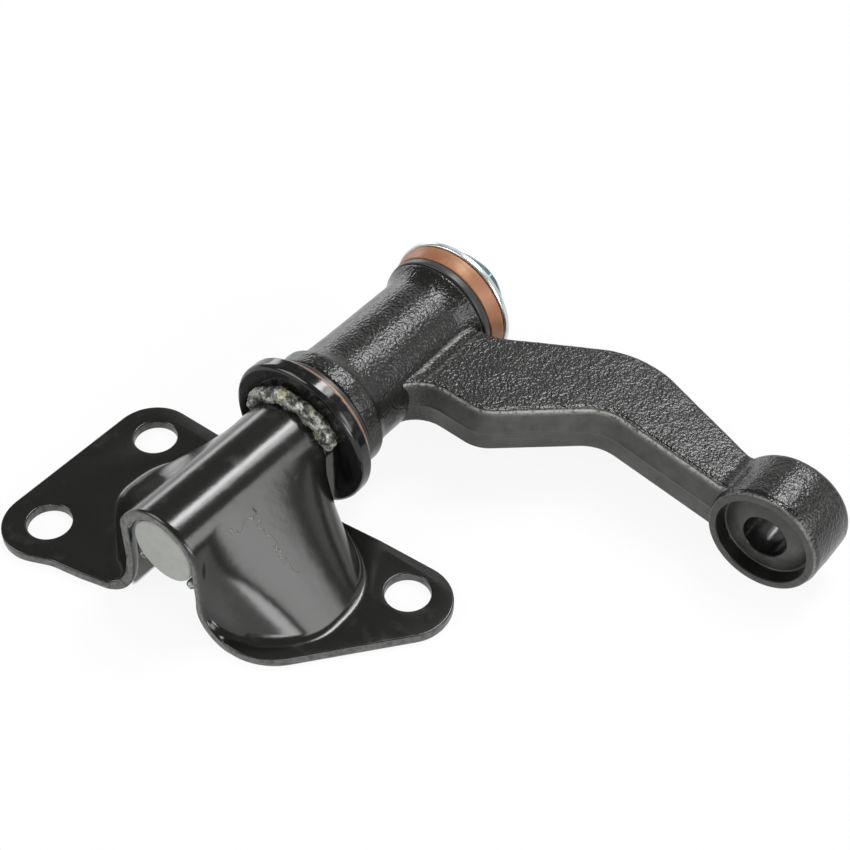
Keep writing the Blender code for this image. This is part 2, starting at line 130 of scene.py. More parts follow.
def resample(line: np.ndarray, count: int, closed: bool = False) -> np.ndarray:
    """Places points along a line at even steps of its length.

    Args:
        line: The line's points, one row each.
        count: How many points to return.
        closed: Whether the line runs back to its start, which then isn't repeated.

    Returns:
        The new points, one row each.
    """
    if closed:
        line = np.concatenate([line, line[:1]])
    run = np.concatenate([[0.0], np.cumsum(np.linalg.norm(np.diff(line, axis=0), axis=1))])
    where = np.linspace(0.0, 1.0, count + 1 if closed else count) * run[-1]
    found = np.stack([np.interp(where, run, line[:, k]) for k in range(line.shape[1])], 1)
    return found[:-1] if closed else found


def normals_of(line: np.ndarray) -> np.ndarray:
    """Gives the unit vector to the left of a line in a plane at each of its points."""
    along = np.gradient(line, axis=0)
    along /= np.linalg.norm(along, axis=1, keepdims=True)
    return np.stack([-along[:, 1], along[:, 0]], 1)


def lowered(points: np.ndarray) -> np.ndarray:
    """Turns points about the shaft's axis by a = HANG, so that the arm's eye comes down to the floor.

    x' = x cos a + z sin a, z' = z cos a - x sin a, and y stays.
    """
    x, y, z = points[..., 0], points[..., 1], points[..., 2]
    c, s = math.cos(HANG), math.sin(HANG)
    return np.stack([x * c + z * s, y, z * c - x * s], -1)


def turned(profile: np.ndarray, steps: int, x: float = 0.0) -> np.ndarray:
    """Turns a profile about a line along Y through (x, 0).

    A point is (x + r sin t, y, r cos t), for each r and y of the profile and each angle t round the line.

    Args:
        profile: (radius, y) rows.
        steps: How many points each circle has.
        x: Where the line stands.

    Returns:
        A grid of points, one row for each row of the profile.
    """
    t = np.linspace(0.0, 2 * np.pi, steps, endpoint=False)
    r, y = profile[:, :1], profile[:, 1:]
    return np.stack([x + r * np.sin(t), y + 0 * t, r * np.cos(t)], -1)


def wander(points: np.ndarray, size: float, seed: int) -> np.ndarray:
    """Gives a smooth field that wanders between about -1 and 1.

    It is twice the mean of nine sine waves in different directions, with wavelengths near size.

    Args:
        points: Where to read it.
        size: The usual distance from one crest to the next.
        seed: Chooses the waves.

    Returns:
        One value for each point.
    """
    rng = np.random.default_rng(seed)
    total = np.zeros(points.shape[:-1])
    waves = 9
    for _ in range(waves):
        way = rng.normal(size=3)
        way *= 2 * np.pi / (size * rng.uniform(0.7, 1.6)) / np.linalg.norm(way)
        total += np.sin(points @ way + rng.uniform(0, 2 * np.pi))
    return 2 * total / waves


@dataclass
class Patch:
    """A grid of points that becomes a stretch of a mesh.

    points holds rows of columns of (x, y, z). wrap_rows joins the last row to the first, wrap_columns the
    last column to the first. marks holds one number for each point under each name.
    """

    points: np.ndarray
    wrap_rows: bool = False
    wrap_columns: bool = False
    marks: dict[str, np.ndarray] = field(default_factory=dict)

    def quads(self) -> np.ndarray:
        """Gives the four corners of each face, as numbers of points counted row by row."""
        rows, columns = self.points.shape[:2]
        number = np.arange(rows * columns).reshape(rows, columns)
        if self.wrap_rows:
            number = np.concatenate([number, number[:1]])
        if self.wrap_columns:
            number = np.concatenate([number, number[:, :1]], 1)
        corners = [number[:-1, :-1], number[:-1, 1:], number[1:, 1:], number[1:, :-1]]
        return np.stack(corners, -1).reshape(-1, 4)


def join_doubles(mesh: bpy.types.Mesh, distance: float) -> None:
    """Joins points that lie closer than distance and points the faces outwards."""
    body = bmesh.new()
    body.from_mesh(mesh)
    bmesh.ops.remove_doubles(body, verts=body.verts, dist=distance)
    bmesh.ops.recalc_face_normals(body, faces=body.faces)
    body.to_mesh(mesh)
    body.free()


def link_object(name: str, mesh: bpy.types.Mesh, sharp: float = 40.0) -> bpy.types.Object:
    """Shades a mesh smooth, apart from edges over sharp degrees, and links an object of it to the scene."""
    mesh.shade_smooth()
    mesh.set_sharp_from_angle(angle=math.radians(sharp))
    obj = bpy.data.objects.new(name, mesh)
    bpy.context.scene.collection.objects.link(obj)
    return obj


def mesh_of(name: str, patches: list[Patch], sharp: float = 40.0) -> bpy.types.Object:
    """Makes one object from patches, welds their seams and poles, and points the faces outwards.

    Args:
        name: The object's name.
        patches: Its surfaces.
        sharp: The angle in degrees above which an edge stays sharp.

    Returns:
        The new object, linked to the scene.
    """
    points, quads, marks, start = [], [], {}, 0
    names = sorted({key for patch in patches for key in patch.marks})
    for patch in patches:
        flat = patch.points.reshape(-1, 3)
        points.append(flat)
        quads.append(patch.quads() + start)
        for key in names:
            value = patch.marks.get(key, np.zeros(patch.points.shape[:2]))
            marks.setdefault(key, []).append(np.broadcast_to(value, patch.points.shape[:2]).reshape(-1))
        start += len(flat)
    points, quads = np.concatenate(points), np.concatenate(quads)
    mesh = bpy.data.meshes.new(name)
    mesh.vertices.add(len(points))
    mesh.vertices.foreach_set("co", points.astype(np.float32).ravel())
    mesh.loops.add(quads.size)
    mesh.loops.foreach_set("vertex_index", quads.astype(np.int32).ravel())
    mesh.polygons.add(len(quads))
    mesh.polygons.foreach_set("loop_start", np.arange(0, quads.size, 4, dtype=np.int32))
    mesh.update(calc_edges=True)
    for key in names:
        layer = mesh.attributes.new(key, "FLOAT", "POINT")
        layer.data.foreach_set("value", np.concatenate(marks[key]).astype(np.float32))
    join_doubles(mesh, WELD)
    return link_object(name, mesh, sharp)


def ring_of(name: str, corners: list[tuple[float, float, float]]) -> bpy.types.Object:
    """Turns a ring about the shaft from its section's (radius, y, rounding) corners."""
    return mesh_of(name, [Patch(turned(rounded(corners, 6, True), TURN_STEPS), True, True)])


def place_piece(obj: bpy.types.Object, body: str, finish: bpy.types.Material, node: str) -> None:
    """Dresses a piece in its finish, lets it ride on a body and puts it in the place of a node."""
    obj.data.materials.clear()
    obj.data.materials.append(finish)
    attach(obj, body)
    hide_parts(node)
    log.info("%s: %d faces", obj.name, len(obj.data.polygons))


# Finishes


class Value:
    """A number that a material's nodes work out, which adds a Math node for each operator."""

    def __init__(self, maker: Maker, socket: bpy.types.NodeSocket) -> None:
        """Wraps a socket of the maker's node tree."""
        self.maker = maker
        self.socket = socket

    def _math(self, operation: str, first: Value | float, second: Value | float) -> Value:
        """Adds a Math node with two inputs and returns its result."""
        inputs = {0: first, 1: second}
        return Value(self.maker, self.maker.node("ShaderNodeMath", {"operation": operation}, inputs))

    def __add__(self, other: Value | float) -> Value:
        """Adds other."""
        return self._math("ADD", self, other)

    __radd__ = __add__

    def __sub__(self, other: Value | float) -> Value:
        """Takes other away."""
        return self._math("SUBTRACT", self, other)

    def __rsub__(self, other: float) -> Value:
        """Takes this away from other."""
        return self._math("SUBTRACT", other, self)

    def __mul__(self, other: Value | float) -> Value:
        """Multiplies by other."""
        return self._math("MULTIPLY", self, other)

    __rmul__ = __mul__

    def __pow__(self, other: float) -> Value:
        """Raises to a power."""
        return self._math("POWER", self, other)

    def least(self, other: Value | float) -> Value:
        """Gives the smaller of this and other."""
        return self._math("MINIMUM", self, other)

    def most(self, other: Value | float) -> Value:
        """Gives the larger of this and other."""
        return self._math("MAXIMUM", self, other)

    def between(self, low: float, high: float) -> Value:
        """Gives 0 below low, 1 above high and a smooth step between."""
        settings = {"interpolation_type": "SMOOTHSTEP"}
        inputs = {0: self, 1: low, 2: high}
        return Value(self.maker, self.maker.node("ShaderNodeMapRange", settings, inputs))


class Maker:
    """Builds the node tree of one material, or of the world, round its shader."""

    def __init__(self, name: str, world: bool = False) -> None:
        """Starts a material of that name, or a world, whose places are directions."""
        self.made = (bpy.data.worlds if world else bpy.data.materials).new(name)
        self.made.use_nodes = True
        self.tree = self.made.node_tree
        self.shader = self.tree.nodes["Background" if world else "Principled BSDF"]
        self.place = self.node("ShaderNodeTexCoord", {}, {}, "Generated" if world else "Object")

    def node(self, kind: str, settings: dict, inputs: dict, output: str | int = 0) -> bpy.types.NodeSocket:
        """Adds a node.

        Args:
            kind: The node's type.
            settings: Its properties, set first.
            inputs: A value, a Value or a socket for each named or numbered input.
            output: Which output to return.

        Returns:
            The chosen output socket.
        """
        made = self.tree.nodes.new(kind)
        for key, value in settings.items():
            setattr(made, key, value)
        for key, value in inputs.items():
            self.feed(made.inputs[key], value)
        return made.outputs[output]

    def feed(self, socket: bpy.types.NodeSocket, value: object) -> None:
        """Links a value to a socket, or sets it there when it is a constant."""
        if isinstance(value, Value):
            value = value.socket
        if isinstance(value, bpy.types.NodeSocket):
            self.tree.links.new(value, socket)
        else:
            socket.default_value = value

    def noise(self, scale: float, detail: float = 2.0, rough: float = 0.5) -> Value:
        """Gives a noise between about 0 and 1; scale counts its cells in a metre."""
        inputs = {"Vector": self.place, "Scale": scale, "Detail": detail, "Roughness": rough}
        return Value(self, self.node("ShaderNodeTexNoise", {}, inputs))

    def cells(self, scale: float) -> Value:
        """Gives the distance to the nearest of random points; scale counts them in a metre."""
        return Value(self, self.node("ShaderNodeTexVoronoi", {}, {"Vector": self.place, "Scale": scale}))

    def mark(self, name: str) -> Value:
        """Reads a number that the mesh carries at each point."""
        return Value(self, self.node("ShaderNodeAttribute", {"attribute_name": name}, {}, "Fac"))

    def axis(self, which: str) -> Value:
        """Gives the X, Y or Z of the place on the object, in metres."""
        return Value(self, self.node("ShaderNodeSeparateXYZ", {}, {0: self.place}, which))

    def band(self, which: str, low: float, start: float, end: float, high: float) -> Value:
        """Gives 1 from start to end along X, Y or Z and 0 beyond low and high, all in millimetres."""
        place = self.axis(which)
        return place.between(low * MM, start * MM) * (1.0 - place.between(end * MM, high * MM))

    def rays(self) -> tuple[Value, ...]:
        """Tells whether a ray comes from the camera, from gloss or through glass, 1 or 0 for each."""
        kinds = ("Is Camera Ray", "Is Glossy Ray", "Is Transmission Ray")
        return tuple(Value(self, self.node("ShaderNodeLightPath", {}, {}, kind)) for kind in kinds)

    def mix(self, share: Value, low: object, high: object) -> bpy.types.NodeSocket:
        """Blends two colours."""
        return self.node("ShaderNodeMix", {"data_type": "RGBA"}, {0: share, 6: low, 7: high}, 2)

    def relief(self, height: Value, distance: float) -> None:
        """Gives the surface a relief: height 1 stands distance above height 0."""
        inputs = {"Height": height, "Distance": distance, "Strength": 1.0}
        self.feed(self.shader.inputs["Normal"], self.node("ShaderNodeBump", {}, inputs, "Normal"))

    def set(self, **values: object) -> None:
        """Sets or links the shader's sockets; a name's underscores stand for spaces."""
        for key, value in values.items():
            self.feed(self.shader.inputs[key.replace("_", " ")], value)


def rgba(red: float, green: float, blue: float) -> tuple[float, float, float, float]:
    """Gives an opaque colour from its linear red, green and blue."""
    return (red, green, blue, 1.0)


@dataclass(frozen=True)
class BlackPaint:
    """Glossy black dip paint over stamped steel, thin and grey along cut edges, with dust and a brown run."""

    base: tuple = rgba(0.0074, 0.0078, 0.0064)
    edge: tuple = rgba(0.11, 0.11, 0.105)
    dust: tuple = rgba(0.050, 0.049, 0.042)
    run: tuple = rgba(0.078, 0.068, 0.052)

    def make(self) -> bpy.types.Material:
        """Builds the material."""
        m = Maker("black_paint")
        cut = m.mark("cut")
        grime = m.noise(160.0, 5.0, 0.62).between(0.56, 0.74)
        specks = m.noise(1500.0, 3.0, 0.6).between(0.66, 0.74)
        colour = m.mix(grime * 0.22 + specks * 0.45, self.base, self.dust)
        jog = (m.noise(230.0, 3.0, 0.6) - 0.5) * (9 * MM)
        down, over = m.axis("Y") + jog - 21.5 * MM, m.axis("Z") + jog - 5.2 * MM
        core, rim = 0.03 * MM * MM, 0.12 * MM * MM
        falls = (1.0 - (down * down).between(core, rim)) * m.band("Z", -10, -8, 4.5, 5.5)
        crosses = (1.0 - (over * over).between(core, rim)) * m.band("Y", 12, 14, 22, 23)
        run = falls.most(crosses) * m.band("X", 9, 10, 30, 31)
        colour = m.mix(run * m.noise(900.0, 2.0, 0.5).between(0.25, 0.42) * 0.85, colour, self.run)
        colour = m.mix(cut * m.noise(700.0, 3.0, 0.6).between(0.28, 0.62), colour, self.edge)
        peel = m.noise(230.0, 2.0, 0.4)
        m.relief(peel * 0.5 + m.noise(1300.0, 3.0, 0.6) * 0.14 + run * 0.5, 0.10 * MM)
        m.set(Base_Color=colour, Roughness=0.19 + grime * 0.08 + cut * 0.22, Specular_IOR_Level=0.6)
        return m.made


@dataclass(frozen=True)
class ForgedSkin:
    """The forging's blasted black skin, pebbled all over and smooth on the faces left by the trimming die,
    with painted highlights along its trimmed edges and creases and painted shade in the eye's recess and
    bore.
    """

    base: tuple = rgba(0.0065, 0.0070, 0.0060)
    worn: tuple = rgba(0.016, 0.0175, 0.0145)
    smooth: tuple = rgba(0.074, 0.078, 0.069)
    painted_edge_highlight: tuple = rgba(0.34, 0.35, 0.33)
    bore: tuple = rgba(0.0050, 0.0050, 0.0048)

    def make(self) -> bpy.types.Material:
        """Builds the material."""
        m = Maker("forged_black")
        smooth, edge, bore = m.mark("smooth"), m.mark("edge"), m.mark("bore")
        pebbles = m.noise(1080.0, 2.0, 0.55)
        grains = m.cells(1150.0)
        height = pebbles * 0.85 + grains * 0.30
        tone = pebbles.between(0.50, 0.66)
        colour = m.mix(tone * 0.7, self.base, self.worn)
        colour = m.mix(smooth, colour, m.mix(m.noise(220.0, 4.0, 0.6), self.smooth, self.base))
        # Painted highlight: the edge mark lightens the trimmed edges, the creases beside the hub and the
        # eye's rim corner.
        colour = m.mix(edge * pebbles.between(0.28, 0.55), colour, self.painted_edge_highlight)
        # Painted shade: the bore mark darkens the eye's recess wall and bore, and it also leaves them
        # glossier.
        colour = m.mix(bore, colour, self.bore)
        rough = 0.15 + m.noise(300.0, 3.0, 0.5) * 0.10 + smooth * (1.0 - bore) * 0.22
        m.relief(height * (1.0 - smooth * 0.94), 0.27 * MM)
        m.set(Base_Color=colour, Roughness=rough, Specular_IOR_Level=0.5)
        return m.made


@dataclass(frozen=True)
class TurnedSteel:
    """The shaft's bare turned steel, dull and even, with faint rings on its end."""

    base: tuple = rgba(0.335, 0.348, 0.325)
    stain: tuple = rgba(0.24, 0.25, 0.235)

    def make(self) -> bpy.types.Material:
        """Builds the material."""
        m = Maker("shaft_steel")
        x, z = m.axis("X"), m.axis("Z")
        out = (x * x + z * z) ** 0.5
        rings = Value(m, m.node("ShaderNodeMath", {"operation": "SINE"}, {0: out * 14000.0}))
        stain = m.noise(240.0, 4.0, 0.6)
        colour = m.mix(stain.between(0.35, 0.75) * 0.35, self.base, self.stain)
        m.relief(rings * 0.5 + m.noise(1800.0, 2.0, 0.5), 0.02 * MM)
        m.set(Base_Color=colour, Metallic=0.35, Roughness=0.52 + stain * 0.10)
        return m.made


@dataclass(frozen=True)
class WeldMetal:
    """A weld bead under thin paint, with steel and a trace of yellow primer showing on its crests."""

    base: tuple = rgba(0.022, 0.022, 0.018)
    bare: tuple = rgba(0.38, 0.39, 0.36)
    primer: tuple = rgba(0.36, 0.35, 0.20)

    def make(self) -> bpy.types.Material:
        """Builds the material."""
        m = Maker("weld_metal")
        crest = m.noise(420.0, 4.0, 0.65)
        bare = crest.between(0.42, 0.60)
        tint = m.mix(m.noise(300.0, 2.0, 0.5).between(0.57, 0.68), self.bare, self.primer)
        m.relief(crest, 0.6 * MM)
        m.set(Base_Color=m.mix(bare, self.base, tint), Metallic=bare * 0.6, Roughness=0.20 + bare * 0.10)
        return m.made


@dataclass(frozen=True)
class CapEnamel:
    """The dust cap's smooth black enamel."""

    base: tuple = rgba(0.0060, 0.0060, 0.0058)
    dust: tuple = rgba(0.035, 0.034, 0.030)
    worn: tuple = rgba(0.30, 0.30, 0.28)

    def make(self) -> bpy.types.Material:
        """Builds the material."""
        m = Maker("cap_enamel")
        edge = m.mark("cut")
        dust = m.noise(300.0, 4.0, 0.6).between(0.54, 0.74)
        colour = m.mix(dust * 0.4, self.base, self.dust)
        colour = m.mix(edge * m.noise(500.0, 3.0, 0.6).between(0.35, 0.6), colour, self.worn)
        m.relief(m.noise(350.0, 2.0, 0.5), 0.05 * MM)
        m.set(Base_Color=colour, Roughness=0.13 + dust * 0.12)
        return m.made


@dataclass(frozen=True)
class BushBrown:
    """The bushes' copper brown moulding, with a soft sheen and paler scuffs."""

    base: tuple = rgba(0.290, 0.125, 0.062)
    pale: tuple = rgba(0.480, 0.265, 0.145)

    def make(self) -> bpy.types.Material:
        """Builds the material."""
        m = Maker("bush_brown")
        scuff = m.noise(110.0, 4.0, 0.6).between(0.42, 0.70)
        fine = m.noise(1200.0, 2.0, 0.5)
        colour = m.mix(scuff * 0.65, self.base, self.pale)
        m.relief(fine, 0.03 * MM)
        m.set(Base_Color=colour, Roughness=0.36 + fine * 0.12, Metallic=0.15)
        return m.made


@dataclass(frozen=True)
class SealRubber:
    """The seals' smooth dark rubber."""

    base: tuple = rgba(0.016, 0.017, 0.017)
    pale: tuple = rgba(0.035, 0.037, 0.036)

    def make(self) -> bpy.types.Material:
        """Builds the material."""
        m = Maker("seal_rubber")
        bloom = m.noise(200.0, 4.0, 0.6)
        colour = m.mix(bloom * 0.5, self.base, self.pale)
        m.relief(m.noise(1500.0, 2.0, 0.5), 0.03 * MM)
        m.set(Base_Color=colour, Roughness=0.30 + bloom * 0.15)
        return m.made


@dataclass(frozen=True)
class ZincPlate:
    """Bright zinc plate with a cool, faintly mottled sheen, and a painted dark reflection on the nut's flats.
    """

    base: tuple = rgba(0.62, 0.69, 0.72)
    clouded: tuple = rgba(0.58, 0.60, 0.56)
    deep: tuple = rgba(0.10, 0.15, 0.18)

    def make(self) -> bpy.types.Material:
        """Builds the material."""
        m = Maker("zinc")
        cloud = m.noise(170.0, 3.0, 0.5)
        m.relief(m.noise(1400.0, 2.0, 0.5), 0.03 * MM)
        colour = m.mix(cloud.between(0.3, 0.7), self.base, self.clouded)
        # Painted dark reflection: the nut's flats are painted darker and bluer.
        colour = m.mix(m.mark("deep"), colour, self.deep)
        m.set(Base_Color=colour, Metallic=0.92, Roughness=0.20 + cloud * 0.14)
        return m.made


# The bracket


@dataclass
class Bracket:
    """The stamped sheet: two bolt lobes, drawn up between them into a gusseted saddle over the shaft."""

    hole_radius: float = 6.5 * MM
    hole_spread: float = 48.2 * MM
    front_hole: float = 0.6 * MM
    rear_hole: float = 43.5 * MM
    ear: float = 12.8 * MM
    foot: float = 39.6 * MM
    peak: float = 23.5 * MM
    front_power: float = 1.9
    right_front_power: float = 2.5
    rear_power: float = 3.0
    fillet: float = 4.2 * MM
    left_upright: tuple[float, float] = (0.0, 3.2 * MM)
    right_upright: tuple[float, float] = (0.8 * MM, 3.8 * MM)
    rear_upright: float = 2.5 * MM
    bowl: float = 3.0 * MM
    bowl_start: float = 1.0 * MM
    bowl_run: float = 15.0 * MM
    left_spread: float = 2.0 * MM
    spread_power: int = 8
    left_lip: float = 4.8 * MM
    right_lip: float = 0.6 * MM
    lip_run: float = 9.0 * MM
    lip_power: float = 1.3
    left_slope: float = math.radians(24.2)
    left_corner: float = 10.7 * MM
    edge_round: float = 0.55 * MM
    end_round: float = 1.15 * MM
    right_swell: float = 0.75 * MM
    right_foot: float = 1.2 * MM
    right_foot_start: int = 34
    right_foot_run: float = 24.0
    left_thin: float = 0.65 * MM
    left_thin_share: float = 0.75
    lining_rise: float = 0.35
    lining_gap: float = 0.005 * MM
    cut_fade: float = 2.4
    overlap: float = 0.9 * MM
    tongue: tuple[float, float] = (1.2 * MM, -0.02 * MM)
    length_steps: int = 150
    round_steps: int = 9
    crest_steps: int = 44
    leg_steps: int = 34
    fillet_steps: int = 24

    def share(self, y: np.ndarray, side: Side) -> np.ndarray:
        """Tells how far a leg leans out at y: 1 at the gusset's peak and 0 at both ends.

        It falls from the peak by a power law, and smooth steps keep the sheet upright close to its ends.
        """
        power = self.front_power if side is Side.LEFT else self.right_front_power
        front = 1.0 - np.clip((self.peak - y) / self.peak, 0.0, 1.0) ** power
        rear = 1.0 - np.clip((y - self.peak) / (BRACKET_LENGTH - self.peak), 0.0, 1.0) ** self.rear_power
        upright, run = self.right_upright if side is Side.RIGHT else self.left_upright
        ends = smoothstep((y - upright) / run) * smoothstep((BRACKET_LENGTH - y) / self.rear_upright)
        return np.minimum(front, rear) * ends

    def reach(self, y: np.ndarray, side: Side) -> np.ndarray:
        """Gives the distance from the shaft's plane to the foot of a leg at y."""
        return CREST + (self.foot - CREST) * self.share(y, side)

    def lean(self, foot: np.ndarray) -> np.ndarray:
        """Gives the angle through which the crest's arc runs before the leg leaves it for its foot."""
        rise = AXIS_HEIGHT - SHEET
        return np.arctan2(rise, foot) + np.arcsin(np.minimum(1.0, CREST / np.hypot(foot, rise)))

    def swell(self, angle: np.ndarray, side: Side) -> np.ndarray:
        """Gives how far a shoulder stands out beyond the crest's arc at an angle, by a power of its sine."""
        spread = self.left_spread if side is Side.LEFT else 0.0
        return spread * np.sin(angle) ** self.spread_power

    def bend(self, y: np.ndarray, side: Side) -> np.ndarray:
        """Gives the radius of the turn from a leg into its plate at y, wider at the right front."""
        wide = self.bowl if side is Side.RIGHT else 0.0
        return self.fillet + wide * (1.0 - smoothstep((y - self.bowl_start) / self.bowl_run))

    def lip(self, y: np.ndarray, along: np.ndarray, side: Side) -> np.ndarray:
        """Tells how far the front edge is drawn forward at y, where along runs from leg (0) to plate (1)."""
        reach = self.left_lip if side is Side.LEFT else self.right_lip
        return reach * along**self.lip_power * (1.0 - smoothstep(y / self.lip_run))

    def skin(self, y: np.ndarray, side: Side) -> np.ndarray:
        """Gives half of the sheet's outer skin, from the crest's middle out to the plate.

        An arc of radius CREST runs over the shaft to the leg's lean, the leg runs straight down, and an arc
        of the bend's radius turns it into the plate.

        Args:
            y: Places along the shaft, one row for each section and one column for each point of it.
            side: Which half.

        Returns:
            A grid of points.
        """
        rise = AXIS_HEIGHT - SHEET
        foot = self.reach(y, side)
        lean = self.lean(foot)
        a, b = self.crest_steps, self.crest_steps + self.leg_steps
        t = np.linspace(0.0, 1.0, a)[None, :] * lean[:, :a]
        crest = np.stack([CREST * np.sin(t) + self.swell(t, side), CREST * np.cos(t)], -1)
        tip = lean[:, a:]
        bend = self.bend(y[:, a:], side)
        middle = foot[:, a:] + bend * np.tan(tip / 2) + self.swell(tip, side)
        done = np.concatenate([np.zeros(self.leg_steps), np.linspace(0.0, 1.0, self.fillet_steps)])
        turn = tip * (1.0 - done)
        low = np.stack([middle - bend * np.sin(turn), bend - rise - bend * np.cos(turn)], -1)
        top_x = CREST * np.sin(lean[:, a:b]) + self.swell(lean[:, a:b], side)
        top = np.stack([top_x, CREST * np.cos(lean[:, a:b])], -1)
        s = (np.arange(1, self.leg_steps + 1) / (self.leg_steps + 1))[None, :, None]
        leg = top * (1 - s) + low[:, : self.leg_steps] * s
        end = low[:, -1:] + np.array(self.tongue)
        xz = np.concatenate([crest, leg, low[:, self.leg_steps :], end], 1)
        y = np.concatenate([y, y[:, -1:]], 1)
        along = np.clip((np.arange(xz.shape[1]) - b + 10) / (self.fillet_steps + 8), 0.0, 1.0)[None, :]
        return np.stack([side.value * xz[..., 0], y - self.lip(y, along, side), xz[..., 1]], -1)

    def half(self, side: Side) -> tuple[np.ndarray, np.ndarray, np.ndarray]:
        """Builds one half's outer skin, inner skin and cut mark.

        The inner skin lies a sheet's thickness under the outer one along its normals. At both ends the outer
        skin is rounded by r, which grows over the crest towards the right: at the angle f it stands
        r - r cos f from the end and r - r sin f under its full height.
        """
        a = self.crest_steps
        count = a + self.leg_steps + self.fillet_steps
        k = np.arange(count)
        if side is Side.RIGHT:
            low = smoothstep((k - count + self.right_foot_start) / self.right_foot_run)
            r = self.end_round + self.right_swell * smoothstep(k / a) - self.right_foot * low
        else:
            r = self.end_round - self.left_thin * smoothstep(k / (self.left_thin_share * a))
        f = np.linspace(0.0, np.pi / 2, self.round_steps)
        middle = np.linspace(0.0, 1.0, self.length_steps)[1:-1, None]
        first = r[None, :] * (1.0 - np.cos(f))[:, None]
        inner = r[None, :] + (BRACKET_LENGTH - 2 * r[None, :]) * middle
        y = np.concatenate([first, inner, BRACKET_LENGTH - first[::-1]])
        down = r[None, :] * (1.0 - np.sin(f))[:, None]
        inset = np.concatenate([down, np.zeros_like(inner), down[::-1]])
        inset = np.concatenate([inset, inset[:, -1:]], 1)
        full = self.skin(y, side)
        normal = np.cross(np.gradient(full, axis=0), np.gradient(full, axis=1))
        normal /= np.linalg.norm(normal, axis=-1, keepdims=True)
        normal *= np.sign(normal[:, :1, 2:])
        outer = full - normal * inset[..., None]
        under = full - normal * (SHEET - self.lining_rise * inset)[..., None]
        under[..., 2] = np.maximum(under[..., 2], self.lining_gap - AXIS_HEIGHT)
        shade = np.clip(1.0 - self.cut_fade * np.linspace(0.0, 1.0, self.round_steps), 0.0, 1.0)
        cut = np.concatenate([shade, np.zeros(len(middle)), shade[::-1]])[:, None]
        return outer, under, cut * np.ones((1, full.shape[1]))

    def saddle(self) -> list[Patch]:
        """Builds the drawn middle: the outer skin, the inner skin and the cut faces at both ends."""
        left, right = self.half(Side.LEFT), self.half(Side.RIGHT)
        skin = np.concatenate([left[0][:, ::-1], right[0][:, 1:]], 1)
        lining = np.concatenate([left[1][:, ::-1], right[1][:, 1:]], 1)
        cut = np.concatenate([left[2][:, ::-1], right[2][:, 1:]], 1)
        loop = np.concatenate([skin, lining[:, ::-1]], 1)
        patches = [Patch(loop, wrap_columns=True, marks={"cut": np.concatenate([cut, 0 * cut], 1)})]
        for end in (0, -1):
            shares = np.linspace(0.0, 1.0, 5)[:, None, None]
            face = skin[end] * (1 - shares) + lining[end] * shares
            patches.append(Patch(face, marks={"cut": np.ones(face.shape[:2])}))
        return patches

    def inner_edge(self, side: Side) -> list[tuple[float, float, float]]:
        """Gives the line under the saddle's fillet where a plate begins, from its front to its rear."""
        y = np.linspace(0.0, BRACKET_LENGTH, 70)
        foot = self.reach(y, side)
        lean = self.lean(foot)
        x = foot + self.bend(y, side) * np.tan(lean / 2) + self.swell(lean, side) - self.overlap
        y = y - self.lip(y, np.ones_like(y), side)
        return [(side.value * float(a), float(b), 0.0) for a, b in zip(x, y)]

    def outline(self, side: Side) -> np.ndarray:
        """Gives one lobe's outline in plan, closed along the saddle's fillet."""
        seam = self.inner_edge(side)
        if side is Side.RIGHT:
            corners = [
                (31.4 * MM, -0.72 * MM, 20.0 * MM),
                (62.3 * MM, 36.7 * MM, self.ear),
                (62.3 * MM, 55.2 * MM, self.ear),
                (30.4 * MM, 53.5 * MM, 0.0),
            ]
            return rounded(corners + seam[::-1], 16, closed=True)
        slope, bend = self.left_slope, self.left_corner
        left = -self.hole_spread - self.ear - 0.6 * MM
        under = self.front_hole - (self.ear + 0.4 * MM) / math.cos(slope)
        corners = [
            (-30.4 * MM, 55.9 * MM, 0.0),
            (left, 55.9 * MM, self.ear),
            (left, under - self.ear * math.tan(slope), self.ear),
            (bend - self.hole_spread, under + bend * math.tan(slope), self.ear),
            (-27.9 * MM, -7.3 * MM, 0.0),
            (seam[0][0] - 0.5 * MM, -5.1 * MM, 0.0),
        ]
        return rounded(corners + seam, 16, closed=True)

    def plate(self, side: Side, holes: list[tuple[float, float]]) -> bpy.types.Object:
        """Builds one lobe from its outline and holes, as thick as the sheet and rounded at every edge."""
        curve = bpy.data.curves.new("lobe", "CURVE")
        curve.dimensions = "2D"
        curve.fill_mode = "BOTH"
        r = self.edge_round
        curve.extrude = SHEET / 2 - r
        curve.bevel_depth = r
        curve.bevel_resolution = 4
        curve.offset = -r
        rings = [self.outline(side)]
        t = np.linspace(0.0, 2 * np.pi, 72, endpoint=False)
        round_hole = np.stack([self.hole_radius * np.cos(t), self.hole_radius * np.sin(t)], 1)
        rings += [round_hole + np.array([x, y]) for x, y in holes]
        for ring in rings:
            spline = curve.splines.new("POLY")
            spline.points.add(len(ring) - 1)
            flat = np.concatenate([ring, np.zeros((len(ring), 1)), np.ones((len(ring), 1))], 1)
            spline.points.foreach_set("co", flat.astype(np.float32).ravel())
            spline.use_cyclic_u = True
        guide = bpy.data.objects.new("lobe", curve)
        bpy.context.scene.collection.objects.link(guide)
        bpy.context.view_layer.update()
        mesh = bpy.data.meshes.new_from_object(guide.evaluated_get(bpy.context.evaluated_depsgraph_get()))
        mesh.transform(Matrix.Translation((0.0, 0.0, SHEET / 2 - AXIS_HEIGHT)))
        bpy.data.objects.remove(guide)
        join_doubles(mesh, WELD / 20)
        layer = mesh.attributes.new("cut", "FLOAT", "POINT")
        heights = np.empty(len(mesh.vertices) * 3, np.float32)
        mesh.vertices.foreach_get("co", heights)
        z = heights[2::3]
        inside = np.minimum(z + AXIS_HEIGHT, SHEET - AXIS_HEIGHT - z)
        layer.data.foreach_set("value", np.clip(inside / r - 0.25, 0.0, 1.0).astype(np.float32))
        return link_object(f"lobe_{side.name.lower()}", mesh)

